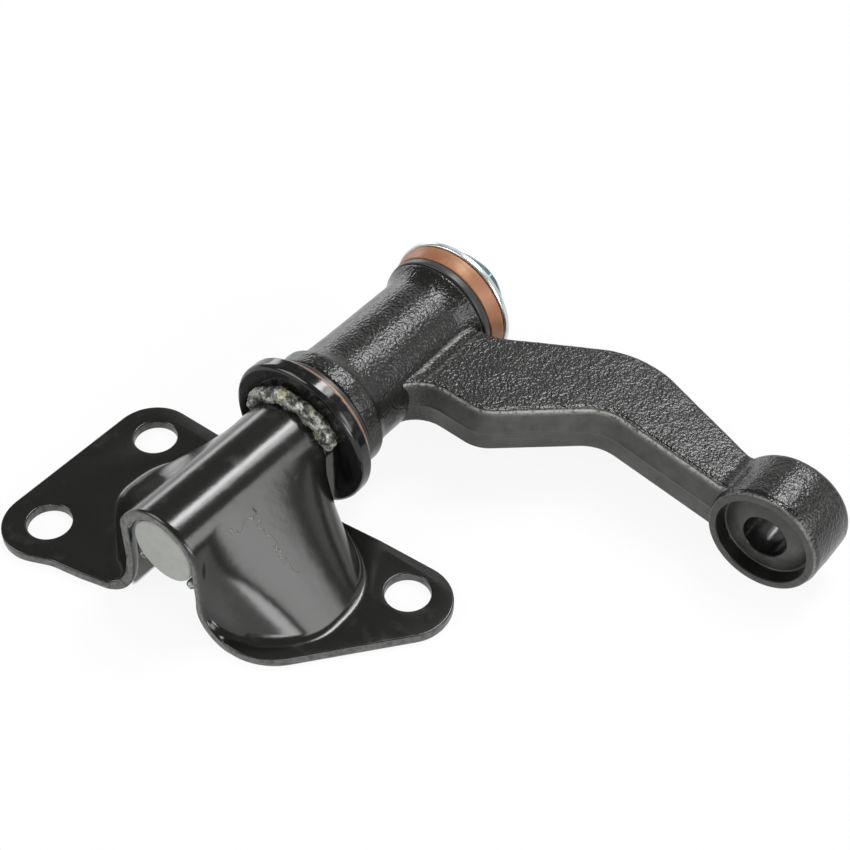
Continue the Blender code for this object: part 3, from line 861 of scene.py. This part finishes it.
    def build(self, paint: bpy.types.Material) -> None:
        """Builds the saddle and both lobes and dresses them in paint."""
        spread = self.hole_spread
        pieces = [
            mesh_of("saddle", self.saddle()),
            self.plate(Side.LEFT, [(-spread, self.front_hole), (-spread, self.rear_hole)]),
            self.plate(Side.RIGHT, [(spread, self.rear_hole)]),
        ]
        for piece in pieces:
            place_piece(piece, "bracket", paint, "bracket")


# The stack on the shaft


@dataclass
class Stack:
    """The shaft, its welds, the dust cap, the washer and the nut, which all stay with the bracket."""

    thread_radius: float = 8.0 * MM
    cap_front: float = 54.5 * MM
    cap_radius: float = 23.2 * MM
    cap_depth: float = 4.6 * MM
    cap_wall: float = 0.9 * MM
    washer_front: float = 126.1 * MM
    washer_radius: float = 20.9 * MM
    washer_thickness: float = 1.9 * MM
    nut_front: float = 128.3 * MM
    nut_height: float = 8.4 * MM
    nut_flats: float = 24.0 * MM
    nut_turn: float = math.radians(10.0)
    nut_corner: float = 0.98
    nut_cone: float = 1.2
    end: float = 139.3 * MM
    bead_span: tuple[float, float] = (-74.0, 70.0)
    bead_arc: float = 15.3 * MM
    bead_place: float = 52.6 * MM
    bead_height: float = 2.5 * MM
    bead_width: float = 2.4 * MM
    bead_room: tuple[float, float] = (50.0 * MM, 54.6 * MM)
    bead_clear: float = 12.9 * MM
    bead_steps: int = 420
    bead_round: int = 40
    tack_out: float = 8.5 * MM
    tack_down: float = 8.2 * MM
    tack_middle: float = 2.8 * MM
    tack_reach: float = 2.5 * MM
    tack_size: float = 1.5 * MM

    def shaft(self) -> bpy.types.Object:
        """Turns the shaft: a rounded front end, the full size up to the washer, and a reduced rear end."""
        shoulder = self.washer_front - GAP
        line = rounded(
            [
                (0.0, 0.0, 0.0),
                (SHAFT_RADIUS, 0.0, 0.9 * MM),
                (SHAFT_RADIUS, shoulder, 0.0),
                (self.thread_radius, shoulder, 0.0),
                (self.thread_radius, self.end, 0.8 * MM),
                (0.0, self.end, 0.0),
            ]
        )
        return mesh_of("turned_shaft", [Patch(turned(line, 96), wrap_columns=True)])

    def bead(self) -> bpy.types.Object:
        """Builds the lumpy bead that joins the saddle's rear end to the dust cap.

        A flattened tube's middle runs on an arc over the shaft. Its size swells with a wandering field,
        shrinks towards both ends by the fourth root of the distance from them, and fine lumps stand on it.
        """
        t = np.radians(np.linspace(*self.bead_span, self.bead_steps))
        ring = np.linspace(0.0, 2 * np.pi, self.bead_round, endpoint=False)
        arc = self.bead_arc
        base = np.stack([arc * np.sin(t), np.full_like(t, self.bead_place), arc * np.cos(t)], -1)
        out = np.stack([np.sin(t), np.zeros_like(t), np.cos(t)], -1)
        size = 1.0 + 0.14 * wander(base, 7.0 * MM, 3)
        run = np.linspace(0.0, 1.0, self.bead_steps)
        size *= np.clip(np.minimum(run, 1.0 - run) / 0.12, 1e-6, 1.0) ** 0.25
        centre = base + out * (0.3 * MM * wander(base, 8.0 * MM, 5))[:, None]
        across = self.bead_height * np.cos(ring)[None, :, None] * out[:, None, :]
        along = self.bead_width * np.sin(ring)[None, :, None] * np.array([0.0, 1.0, 0.0])
        points = centre[:, None, :] + size[:, None, None] * (across + along)
        lumps = 0.30 * MM * wander(points, 3.6 * MM, 8) + 0.12 * MM * wander(points, 1.3 * MM, 9)
        points += lumps[..., None] * (across + along) / (2.0 * MM)
        points[..., 1] = np.clip(points[..., 1], *self.bead_room)
        radius = np.hypot(points[..., 0], points[..., 2])
        keep = np.maximum(radius, self.bead_clear) / radius
        points[..., 0] *= keep
        points[..., 2] *= keep
        return mesh_of("saddle_bead", [Patch(points, wrap_columns=True)], 60.0)

    def tack(self, side: Side) -> bpy.types.Object:
        """Builds one of the short beads between the shaft and a leg, a swollen lump along the shaft."""
        u = np.linspace(0.0, np.pi, 25)[:, None]
        v = np.linspace(0.0, 2 * np.pi, 20, endpoint=False)[None, :]
        size = self.tack_size * np.sin(u) ** 0.6
        x = side.value * self.tack_out + size * np.cos(v)
        z = -self.tack_down + size * np.sin(v)
        y = self.tack_middle - self.tack_reach * np.cos(u) + 0 * v
        points = np.stack([x, y, z], -1)
        points += 0.15 * MM * wander(points, 2.0 * MM, 11)[..., None]
        return mesh_of(f"tack_{side.name.lower()}", [Patch(points, wrap_columns=True)], 60.0)

    def cap(self) -> bpy.types.Object:
        """Turns the dust cap: a disc with a rounded corner and a skirt over the bush's flange."""
        front, rear = self.cap_front, self.cap_front + self.cap_depth
        wall, r = self.cap_wall, self.cap_radius
        line = rounded(
            [
                (BORE, front, 0.3 * MM),
                (r, front, 1.5 * MM),
                (r, rear, 0.42 * MM),
                (r - wall, rear, 0.42 * MM),
                (r - wall, front + wall, 0.7 * MM),
                (BORE, front + wall, 0.3 * MM),
            ],
            8,
            closed=True,
        )
        line = resample(line, 190, closed=True)
        cut = bump(line[:, 1], rear, 0.35 * MM)[:, None] * np.ones((1, TURN_STEPS))
        return mesh_of("dust_cup", [Patch(turned(line, TURN_STEPS), True, True, {"cut": cut})])

    def washer(self) -> bpy.types.Object:
        """Turns the thrust washer, with both edges rounded."""
        front, rear = self.washer_front, self.washer_front + self.washer_thickness
        inner, r = self.thread_radius + GAP, self.washer_radius
        corners = [(inner, front, 0.0), (r, front, 0.5 * MM), (r, rear, 0.5 * MM), (inner, rear, 0.0)]
        return ring_of("zinc_washer", corners)

    def nut(self) -> bpy.types.Object:
        """Builds the hexagon nut.

        A side point lies at flat / cos(t - nearest flat's angle), cut back at both ends by a cone that widens
        by nut_cone for each step along the nut, so that each flat ends in a curve.
        """
        t = np.linspace(0.0, 2 * np.pi, 240, endpoint=False)
        flat = self.nut_flats / 2
        off = (t - self.nut_turn + np.pi / 6) % (np.pi / 3) - np.pi / 6
        hexagon = flat / np.cos(off)
        front, rear = self.nut_front, self.nut_front + self.nut_height
        y = front + self.nut_height * (1 - np.cos(np.linspace(0, np.pi, 60))) / 2
        end = np.minimum(y - front, rear - y)[:, None]
        corner = flat * self.nut_corner
        side = np.minimum(hexagon[None, :], corner + self.nut_cone * end)
        face = np.linspace(self.thread_radius + GAP, corner, 6)[:, None] + 0 * t
        radius = np.concatenate([face, side, face[::-1]])
        along = np.concatenate([np.full(6, front), y, np.full(6, rear)])[:, None] + 0 * t
        points = np.stack([radius * np.sin(t), along, radius * np.cos(t)], -1)
        # The flats carry a painted dark reflection, 1 on them and 0 on the faces.
        deep = np.concatenate([np.zeros(6), smoothstep(np.minimum(y - front, rear - y) / MM), np.zeros(6)])
        return mesh_of("hexagon_nut", [Patch(points, True, True, {"deep": deep[:, None] + 0 * t})], 25.0)

    def build(
        self,
        steel: bpy.types.Material,
        weld: bpy.types.Material,
        enamel: bpy.types.Material,
        zinc: bpy.types.Material,
    ) -> None:
        """Builds each piece in its finish."""
        rows = [
            (self.shaft(), steel, "shaft_steel", "pivot_shaft"),
            (self.bead(), weld, "weld_metal", "rear_weld"),
            (self.tack(Side.LEFT), weld, "weld_metal", "front_weld_left"),
            (self.tack(Side.RIGHT), weld, "weld_metal", "front_weld_right"),
            (self.cap(), enamel, "cap_enamel", "dust_cap"),
            (self.washer(), zinc, "zinc", "thrust_washer"),
            (self.nut(), zinc, "zinc", "lock_nut"),
        ]
        for obj, finish, slot, node in rows:
            place_piece(obj, "bracket", finish, node)


# The swinging side


@dataclass
class Bushes:
    """The two brown flanged bushes and the dark seals between their flanges and the hub."""

    inner_radius: float = 20.7 * MM
    rim_radius: float = 21.5 * MM
    seal_radius: float = 19.9 * MM
    sleeve_wall: float = 2.2 * MM
    sleeve: float = 22.0 * MM
    front_flange: float = 55.7 * MM
    front_step: float = 59.35 * MM
    front_face: float = 60.7 * MM
    rear_face: float = 121.3 * MM
    rear_flange: float = 125.8 * MM
    front_seal: tuple[float, float] = (61.0 * MM, 63.0 * MM)
    rear_seal: tuple[float, float] = (118.5 * MM, 121.1 * MM)
    rear_seal_step: float = 0.9 * MM
    seal_clear: float = 2.8 * MM

    def front(self) -> bpy.types.Object:
        """Turns the front bush: a flange that fills the cap, its wider rim behind the cap, and a sleeve."""
        outer = BORE + self.sleeve_wall
        corners = [
            (BORE, self.front_flange, 0.3 * MM),
            (self.inner_radius, self.front_flange, 0.4 * MM),
            (self.inner_radius, self.front_step, 0.0),
            (self.rim_radius, self.front_step, 0.3 * MM),
            (self.rim_radius, self.front_face, 0.4 * MM),
            (outer, self.front_face, 0.0),
            (outer, self.front_face + self.sleeve, 0.4 * MM),
            (BORE, self.front_face + self.sleeve, 0.3 * MM),
        ]
        return ring_of("front_flanged_bush", corners)

    def rear(self) -> bpy.types.Object:
        """Turns the rear bush: a flange that widens towards the washer, and a sleeve."""
        outer = BORE + self.sleeve_wall
        corners = [
            (BORE, self.rear_flange, 0.3 * MM),
            (self.inner_radius - 0.1 * MM, self.rear_flange, 0.4 * MM),
            (self.inner_radius - 0.7 * MM, self.rear_flange - 1.6 * MM, 4.0 * MM),
            (self.inner_radius - 1.5 * MM, self.rear_face, 0.5 * MM),
            (outer, self.rear_face, 0.0),
            (outer, self.rear_face - self.sleeve, 0.4 * MM),
            (BORE, self.rear_face - self.sleeve, 0.3 * MM),
        ]
        return ring_of("rear_flanged_bush", corners)

    def seal(self, name: str, start: float, end: float, radius: float) -> bpy.types.Object:
        """Turns one seal ring from start to end along the shaft, with a softly crowned rim."""
        inner = SHAFT_RADIUS + self.seal_clear
        corners = [(inner, start, 0.0), (radius, start, 0.5 * MM), (radius, end, 0.5 * MM), (inner, end, 0.0)]
        return ring_of(name, corners)

    def build(self, brown: bpy.types.Material, rubber: bpy.types.Material) -> None:
        """Builds both bushes and both seals."""
        place_piece(self.front(), "arm", brown, "front_bush")
        place_piece(self.rear(), "arm", brown, "rear_bush")
        ring = self.seal("front_ring", *self.front_seal, self.seal_radius)
        place_piece(ring, "arm", rubber, "front_seal")
        ring = self.seal("rear_ring", *self.rear_seal, self.seal_radius - self.rear_seal_step)
        place_piece(ring, "arm", rubber, "rear_seal")


@dataclass
class Forging:
    """The arm's forging: a collared hub, the cranked web and the eye with its recessed seat."""

    hub_front: float = 63.3 * MM
    hub_rear: float = 118.2 * MM
    hub_bore: float = 12.8 * MM
    barrel_radius: float = 16.45 * MM
    front_collar: float = 19.0 * MM
    front_collar_end: float = 69.3 * MM
    rear_collar: float = 18.85 * MM
    rear_flare: float = 7.2 * MM
    taper: float = 0.2 * MM
    taper_start: float = 75.0 * MM
    taper_run: float = 25.0 * MM
    collar_fade: float = 1.9 * MM
    flare_power: float = 1.7
    rim_round: tuple[float, float] = (1.0 * MM, 0.4 * MM)
    half_height: float = 8.2 * MM
    draft: float = 1.2 * MM
    edge_round: float = 1.3 * MM
    edge_run: float = 3.4 * MM
    seam: float = 0.12 * MM
    ridge: float = 0.30 * MM
    groove: float = 0.24 * MM
    trim_start: float = 40.0 * MM
    trim_run: float = 10.0 * MM
    step_side: float = 17.8 * MM
    step_run: float = 0.8 * MM
    step_depth: float = 0.45 * MM
    step_front: float = 88.0 * MM
    step_rise: float = 3.0 * MM
    skin_depth: float = 0.10 * MM
    eye_skin_depth: float = 0.12 * MM
    crank_front: float = 88.4 * MM
    eye_front: float = 107.7 * MM
    eye_width: float = 19.2 * MM
    recess_radius: float = 13.6 * MM
    recess_depth: float = 4.7 * MM
    seat_rise: float = 2.4 * MM
    bore_radius: float = 6.5 * MM
    hub_fillet: float = 0.6 * MM
    eye_fillet: float = 5.0 * MM
    eye_swell: float = 0.65 * MM
    eye_swell_run: float = 13.0 * MM
    eye_swell_turn: float = math.radians(50)
    hub_steps: int = 150
    eye_steps: int = 140
    web_steps: int = 196
    side_steps: int = 46
    across_steps: int = 22

    def barrel(self, y: np.ndarray) -> np.ndarray:
        """Gives the hub's outer radius at y, and 0 beyond its ends.

        A barrel tapers a little towards the rear. The front collar dies into it as exp(-distance /
        collar_fade), and the rear collar grows out of it as a power of the distance.
        """
        core = self.barrel_radius + self.taper * (1.0 - smoothstep((y - self.taper_start) / self.taper_run))
        fade = np.exp(-np.maximum(y - self.front_collar_end, 0.0) / self.collar_fade)
        flare = np.clip((y - self.hub_rear + self.rear_flare) / self.rear_flare, 0.0, 1.0) ** self.flare_power
        radius = core + (self.front_collar - core) * fade + (self.rear_collar - core) * flare
        return np.where((y > self.hub_front) & (y < self.hub_rear), radius, 0.0)

    def rough(self, points: np.ndarray, depth: float, seed: int) -> np.ndarray:
        """Gives the small unevenness of a forged skin at each point."""
        return depth * (0.7 * wander(points, 9.0 * MM, seed) + 0.3 * wander(points, 3.0 * MM, seed + 1))

    def hub(self) -> Patch:
        """Turns the hub, with both rims rounded, and lets its skin wander a little."""
        front, rear = self.hub_front, self.hub_rear
        t = np.linspace(0.0, np.pi / 2, 9)
        lead, trail = self.rim_round
        first = np.stack([self.front_collar - lead + lead * np.sin(t), front + lead - lead * np.cos(t)], 1)
        along = np.linspace(front + lead, rear - trail, 400)[1:-1]
        skin = np.stack([self.barrel(along), along], 1)
        edge = self.rear_collar - 0.1 * MM - trail
        last = np.stack([edge + trail * np.cos(t), rear - trail + trail * np.sin(t)], 1)
        ends = np.array([[self.hub_bore, front]]), np.array([[self.hub_bore, rear]])
        line = resample(np.concatenate([ends[0], first, skin, last, ends[1]]), 196, closed=True)
        points = turned(line, self.hub_steps)
        away = points * np.array([1.0, 0.0, 1.0])
        away /= np.linalg.norm(away, axis=-1, keepdims=True)
        outside = (line[:, 0] > self.barrel_radius - 0.05 * MM)[:, None, None]
        points = points + outside * away * self.rough(points, self.skin_depth, 21)[..., None]
        face = ((line[:, 1] < front + 0.2 * MM) | (line[:, 1] > rear - 0.2 * MM))[:, None]
        smooth = face * np.ones((1, self.hub_steps))
        return Patch(lowered(points), True, True, {"smooth": smooth, "edge": 0 * smooth})

    def eye(self) -> Patch:
        """Turns the eye: its trimmed front rim, the recess, the shallow cone of its floor, and the bore.

        Its barrel swells by up to eye_swell towards the rear, as cos(t - eye_swell_turn) for the angle t from
        its top towards the far end, and not at all underneath.
        """
        front, rear = self.eye_front, self.eye_front + self.eye_width
        seat = front + self.recess_depth
        corners = [
            (self.bore_radius, rear, 0.6 * MM),
            (self.bore_radius, seat - self.seat_rise, 0.25 * MM),
            (self.recess_radius - 0.3 * MM, seat, 0.4 * MM),
            (self.recess_radius + 0.2 * MM, front, 0.2 * MM),
            (EYE_RADIUS - 0.7 * MM, front, 0.5 * MM),
            (EYE_RADIUS, front + 2.2 * MM, 1.2 * MM),
            (EYE_RADIUS, rear, 2.0 * MM),
        ]
        line = resample(rounded(corners, 8, True), 180, closed=True)
        r, y = line[:, 0], line[:, 1]
        points = turned(line, self.eye_steps, CENTRES)
        away = points - np.array([CENTRES, 0.0, 0.0])
        away[..., 1] = 0.0
        away /= np.maximum(np.linalg.norm(away, axis=-1, keepdims=True), 1e-9)
        barrel = ((r > EYE_RADIUS - 2.1 * MM) & (y > front + 0.6 * MM))[:, None, None]
        points = points - barrel * away * np.abs(self.rough(points, self.eye_skin_depth, 31))[..., None]
        turn = np.linspace(0.0, 2 * np.pi, self.eye_steps, endpoint=False) - self.eye_swell_turn
        swell = smoothstep((y[:, None] - front) / self.eye_swell_run) * np.maximum(np.cos(turn), 0.0)
        points = points + barrel * away * self.eye_swell * swell[..., None]
        inside = (r < self.recess_radius + 0.15 * MM) & (y < rear - 1.0 * MM)
        rim = (r < EYE_RADIUS - 0.25 * MM) & (y < front + 0.3 * MM) & ~inside
        # wall marks the recess wall and the bore, which are painted in shade.
        wall = inside & ((r > self.recess_radius - 0.28 * MM) | (r < self.bore_radius + 0.3 * MM))
        # edge marks a painted highlight round the front rim's outer corner.
        edge = bump(np.hypot(r - EYE_RADIUS + 0.5 * MM, y - front - 0.5 * MM), 0.0, 0.4 * MM)
        lines = {"smooth": inside + 0.72 * rim, "edge": 0.4 * edge, "bore": wall}
        marks = {key: line[:, None] * np.ones((1, self.eye_steps)) for key, line in lines.items()}
        return Patch(lowered(points), True, True, marks)

    def plateau(self, y: np.ndarray) -> np.ndarray:
        """Tells how far y lies along the step beside the hub: 0 before its front and 1 past its rise."""
        return smoothstep((y - self.step_front) / self.step_rise)

    def top(self, x: np.ndarray, y: np.ndarray) -> np.ndarray:
        """Gives the height of the web's upper skin over the plane through the hub's and the eye's axes.

        It is half_height, and near each barrel of radius r it climbs an arc of radius f that touches both:
        with the arc's centre at c = sqrt((r + f)^2 - (h + f)^2) from the barrel's axis, it rises by
        f - sqrt(f^2 - (c - d)^2) at the distance d. Nearer than where they touch it follows the barrel from
        just inside. Beside the hub it is a step lower.
        """
        h = self.half_height
        beside = 1 - smoothstep((x - self.step_side) / self.step_run)
        step = self.step_depth * beside * self.plateau(y)
        height = np.full(np.broadcast(x, y).shape, h) - step
        for d, r, f in (
            (np.abs(x), self.barrel(y), self.hub_fillet),
            (np.abs(CENTRES - x), np.full(y.shape, EYE_RADIUS), self.eye_fillet),
        ):
            centre = np.sqrt(np.maximum((r + f) ** 2 - (h + f) ** 2, 0.0))
            touch = centre * r / (r + f)
            climb = h + f - np.sqrt(np.maximum(f * f - np.clip(centre - d, 0.0, f) ** 2, 0.0))
            under = np.sqrt(np.maximum(r * r - d * d, 0.0)) - 0.25 * MM
            raised = np.where(d < touch, np.maximum(under, h * 0.6), np.where(d < centre, climb, height))
            height = np.where(d < centre, raised, height)
        return height

    def outlines(self, count: int) -> tuple[np.ndarray, np.ndarray]:
        """Gives the web's near and far sides in plan, with their cranks rounded, as count points each."""
        near = rounded(
            [
                (14.9 * MM, self.crank_front - 14.0 * MM, 0.0),
                (14.9 * MM, self.crank_front, 9.8 * MM),
                (38.2 * MM, self.crank_front, 12.2 * MM),
                (64.5 * MM, self.eye_front + 5.4 * MM, 11.8 * MM),
                (CENTRES - 7.0 * MM, self.eye_front + 1.0 * MM, 0.0),
            ],
            20,
        )
        far = rounded(
            [
                (9.0 * MM, self.hub_rear - 0.8 * MM, 0.0),
                (21.8 * MM, self.hub_rear - 0.8 * MM, 8.0 * MM),
                (60.25 * MM, 142.3 * MM, 29.0 * MM),
                (CENTRES - 7.0 * MM, 124.4 * MM, 0.0),
            ],
            20,
        )
        return resample(near, count), resample(far, count)

    def web(self) -> Patch:
        """Builds the cranked web as one loop carried from the hub to the eye.

        The loop's near and far sides are the outlines drawn in by the draft, a |z| / h, and rounded into the
        upper and lower skins. A groove and a ridge run along the near upper edge where the flash was trimmed,
        from where the web leaves the hub's plateau. Both ends close at the middle of their loop, and points
        inside a barrel are drawn out to just under its wall.
        """
        count = self.web_steps
        near, far = self.outlines(count)
        near_in, far_in = normals_of(near), -normals_of(far)
        h, a = self.half_height, self.draft
        side = rounded([(0.0, 0.0, 0.0), (a, h, self.edge_round), (a + self.edge_run, h, 0.0)], 10)
        side = resample(side, self.side_steps)
        inset, z = side[:, 0].copy(), side[:, 1]
        seam = self.seam * bump(z, 0.2 * MM, 0.25 * MM)
        free = smoothstep((near[:, :1] - self.trim_start) / self.trim_run)
        lip = self.ridge * bump(z, h - self.edge_round, 0.34 * MM)
        lip = lip - self.groove * bump(inset, a + 1.1 * MM, 0.35 * MM)
        drawn = inset - seam - np.maximum(lip, 0.0) * free
        upper_near = near[:, None] + near_in[:, None] * drawn[..., None]
        upper_far = far[:, None] + far_in[:, None] * (inset - seam)[None, :, None]
        lower_near = near[:, None] + near_in[:, None] * (inset - seam)[None, :, None]
        t = np.linspace(0.0, 1.0, self.across_steps)[None, 1:-1, None]
        across = upper_near[:, -1:] * (1 - t) + upper_far[:, -1:] * t
        across_low = lower_near[:, -1:] * (1 - t) + upper_far[:, -1:] * t
        above = [upper_near, across, upper_far[:, ::-1]]
        below = [upper_far[:, 1:], across_low[:, ::-1], lower_near[:, :0:-1]]
        plan = np.concatenate(above + below, 1)
        flat = np.full(across.shape[1], h)
        height = np.concatenate([z, flat, z[::-1], -z[1:], -flat, -z[:0:-1]])
        x, y = plan[..., 0], plan[..., 1]
        points = np.stack([x, y, height[None, :] * self.top(x, y) / h], -1)
        n = len(z)
        sides = np.zeros(len(height))
        sides[:n] = 1.0 - smoothstep((inset - a - 0.1 * MM) / (0.5 * MM))
        sides[-(n - 1):] = sides[1:n][::-1]
        skin = np.zeros_like(points)
        skin[..., 2] = np.sign(height)[None, :] * (1.0 - sides)[None, :]
        points = points + skin * self.rough(points, self.skin_depth, 41)[..., None]
        points[:, :n, 2] += np.minimum(lip, 0.0) * free
        trimmed = np.zeros((count, len(height)))
        # trimmed marks a painted highlight along the near upper edge, where the flash was trimmed.
        trimmed[:, :n] = bump(inset, a + 0.1 * MM, 0.22 * MM) * (0.75 + 0.25 * free)
        middle = points.mean(1)[:, None]
        points = np.concatenate([middle[:1] + 0 * points[:1], points, middle[-1:] + 0 * points[-1:]])
        for centre, least in ((0.0, self.hub_bore + 0.7 * MM), (CENTRES, EYE_RADIUS - 1.7 * MM)):
            dx = points[..., 0] - centre
            away = np.maximum(np.hypot(dx, points[..., 2]), 1e-9)
            push = np.maximum(least / away, 1.0)
            points[..., 0] = centre + dx * push
            points[..., 2] *= push
        smooth = sides * (0.3 + 0.7 * smoothstep((points[..., 0] - 17 * MM) / (15 * MM)))
        trimmed = np.concatenate([trimmed[:1], trimmed, trimmed[-1:]])
        x, y, z = points[..., 0], points[..., 1], points[..., 2]
        # Two painted highlight lines along the creases beside the hub, where the web meets the barrel and the
        # step.
        crease_highlight = 0.7 * bump(x, 14.8 * MM, 0.35 * MM) + 0.6 * bump(x, 18.5 * MM, 0.3 * MM)
        crease_highlight *= (z > 6 * MM) * self.plateau(y)
        trimmed = np.clip(trimmed + crease_highlight, 0.0, 1.0)
        return Patch(lowered(points), wrap_columns=True, marks={"smooth": smooth, "edge": trimmed})

    def build(self, skin: bpy.types.Material) -> None:
        """Builds the forging's three forms as one piece in its black skin."""
        obj = mesh_of("forged_arm", [self.hub(), self.eye(), self.web()], 50.0)
        place_piece(obj, "arm", skin, "idler_arm")


# The studio


@dataclass
class Studio:
    """A pale sweep, the lamps round it, and the camera.

    Each row of lamps holds a name, the turn from the shaft's rear end towards the arm's side and the rise
    above the floor in degrees, the distance, the width and height, and the power in watts. The floor stops
    being clear between the clear_squares of the distance from the shaft's front end.
    """

    azimuth: float = 0.647924
    elevation: float = 0.791823
    roll: float = 0.013577
    centre: tuple[float, float, float] = (217.25 * MM, -173.05 * MM, 321.49 * MM)
    focal: float = 1591.67
    image: float = 850.0
    sensor: float = 36.0
    half_width: float = 2.5
    bend: float = 0.9
    back_height: float = 3.0
    across_steps: int = 20
    flat_steps: int = 30
    bend_steps: int = 24
    back_steps: int = 10
    pale: tuple = rgba(0.86, 0.86, 0.86)
    sink: float = 0.05 * MM
    clearness: float = 0.90
    clear_squares: tuple[float, float] = (0.30, 0.36)
    shade_depth: float = 0.75
    air: float = 0.2
    aim: tuple[float, float, float] = (30 * MM, 60 * MM, 0.0)
    lamps: tuple = (
        ("strip_over_back", 3.0, 62.0, 1.2, (0.20, 0.70), 7.0),
        ("strip_beside", 22.0, 61.0, 1.2, (0.16, 0.60), 2.6),
        ("box_right", 84.0, 28.0, 1.3, (1.20, 0.56), 9.0),
        ("box_left_low", -62.0, 7.0, 1.3, (0.7, 0.28), 2.4),
        ("box_right_front", 134.0, 9.0, 1.3, (0.7, 0.36), 6.0),
        ("box_front_left", -139.0, 33.0, 1.6, (0.9, 0.9), 11.0),
    )

    def sweep(self) -> None:
        """Builds the floor and its raised back: a flat strip, a quarter of a circle and an upright strip."""
        reach, bend = self.half_width, self.bend
        flat, back = self.flat_steps, self.back_steps
        x = np.linspace(-reach, reach, self.across_steps)[None, :]
        t = np.linspace(0.05, np.pi / 2, self.bend_steps)
        run = [np.linspace(-reach, reach - bend, flat), reach - bend + bend * np.sin(t), np.full(back, reach)]
        rise = [np.zeros(flat), bend - bend * np.cos(t), np.linspace(bend + 0.1, self.back_height, back)]
        run, rise = np.concatenate(run)[:, None], np.concatenate(rise)[:, None]
        points = np.stack([x + 0 * run, run + 0 * x, rise - AXIS_HEIGHT - self.sink + 0 * x], -1)
        obj = mesh_of("studio_sweep", [Patch(points)])
        if obj.data.polygons[0].normal.z < 0.0:
            obj.data.flip_normals()
        obj.data.materials.append(self.white())

    def white(self) -> bpy.types.Material:
        """Builds the sweep's pale finish.

        It glows where gloss or glass sees it, and lets the camera see through to the white world under it, so
        that the arm stays in sight where it swings below the floor. From underneath it is clear to all light.
        It stays unlit in the hollow under the saddle, where no light comes in, and gloss sees the arm's shade
        on it.
        """
        m = Maker("studio_white")
        m.set(Base_Color=self.pale, Roughness=0.9, Specular_IOR_Level=0.1)
        seen, gloss, clear = m.rays()
        x, y = m.axis("X"), m.axis("Y")
        hollow = m.band("X", -42, -38, -15.6, -14.4) * m.band("Y", 0, 2, 49, 51)
        shade = m.band("X", 12, 24, 85, 100) * m.band("Y", 46, 60, 100, 118)
        near = 1.0 - (x * x + y * y).between(*self.clear_squares)
        share = self.clearness * (1.0 - hollow)
        glowing = (seen * (1.0 - near) + gloss * (1.0 - shade * self.shade_depth) + clear).least(1.0) * share
        glow = m.node("ShaderNodeEmission", {}, {"Color": rgba(1.0, 1.0, 1.0), "Strength": 1.0})
        pale = m.node("ShaderNodeMixShader", {}, {0: glowing, 1: m.shader.outputs[0], 2: glow})
        below = Value(m, m.node("ShaderNodeNewGeometry", {}, {}, "Backfacing"))
        opened = (seen * share).most(below) * near
        through = m.node("ShaderNodeBsdfTransparent", {}, {})
        surface = m.node("ShaderNodeMixShader", {}, {0: opened, 1: pale, 2: through})
        m.feed(m.tree.nodes["Material Output"].inputs[0], surface)
        return m.made

    def lamp(
        self, name: str, turn: float, rise: float, distance: float, size: tuple[float, float], power: float
    ) -> None:
        """Hangs one soft rectangular lamp that faces the part.

        Args:
            name: The lamp's name.
            turn: The angle in degrees from the shaft's rear end towards the arm's side, seen from above.
            rise: The angle in degrees above the floor.
            distance: How far off it is.
            size: Its width and height.
            power: Its power in watts.
        """
        data = bpy.data.lights.new(name, "AREA")
        data.shape = "RECTANGLE"
        data.size, data.size_y = size
        data.energy = power
        obj = bpy.data.objects.new(name, data)
        bpy.context.scene.collection.objects.link(obj)
        t, e = math.radians(turn), math.radians(rise)
        away = Vector((math.sin(t) * math.cos(e), math.cos(t) * math.cos(e), math.sin(e)))
        obj.location = Vector(self.aim) + away * distance
        obj.rotation_euler = away.to_track_quat("Z", "Y").to_euler()

    def light(self) -> None:
        """Sets the world's even light, white below the horizon to camera, gloss and glass, and the lamps."""
        m = Maker("studio_air", world=True)
        seen, gloss, clear = m.rays()
        down = 1.0 - m.axis("Z").between(-0.001, 0.0)
        strength = self.air + (1.0 - self.air) * (seen + gloss + clear).least(1.0) * down
        m.set(Color=rgba(1.0, 1.0, 1.0), Strength=strength)
        bpy.context.scene.world = m.made
        for row in self.lamps:
            self.lamp(*row)

    def camera(self) -> None:
        """Places the camera at the photograph's viewing angle."""
        data = bpy.data.cameras.new("camera")
        data.sensor_width = self.sensor
        data.lens = self.focal / self.image * self.sensor
        data.clip_start = 0.01
        obj = bpy.data.objects.new("camera", data)
        bpy.context.scene.collection.objects.link(obj)
        tilt = Euler((math.pi / 2 - self.elevation, 0.0, self.azimuth)).to_matrix()
        obj.location = self.centre
        obj.rotation_euler = (tilt @ Matrix.Rotation(self.roll, 3, "Z")).to_euler()
        bpy.context.scene.camera = obj

    def build(self) -> None:
        """Builds the sweep, the lamps and the camera."""
        self.sweep()
        self.light()
        self.camera()
        bpy.context.scene.view_settings.view_transform = "Standard"


def main() -> None:
    """Loads the frame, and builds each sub-assembly on it."""
    logging.basicConfig(level=logging.INFO, format="%(message)s")
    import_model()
    weld = WeldMetal().make()
    Bracket().build(BlackPaint().make())
    Stack().build(TurnedSteel().make(), weld, CapEnamel().make(), ZincPlate().make())
    Bushes().build(BushBrown().make(), SealRubber().make())
    Forging().build(ForgedSkin().make())
    Studio().build()


if __name__ == "__main__":
    main()
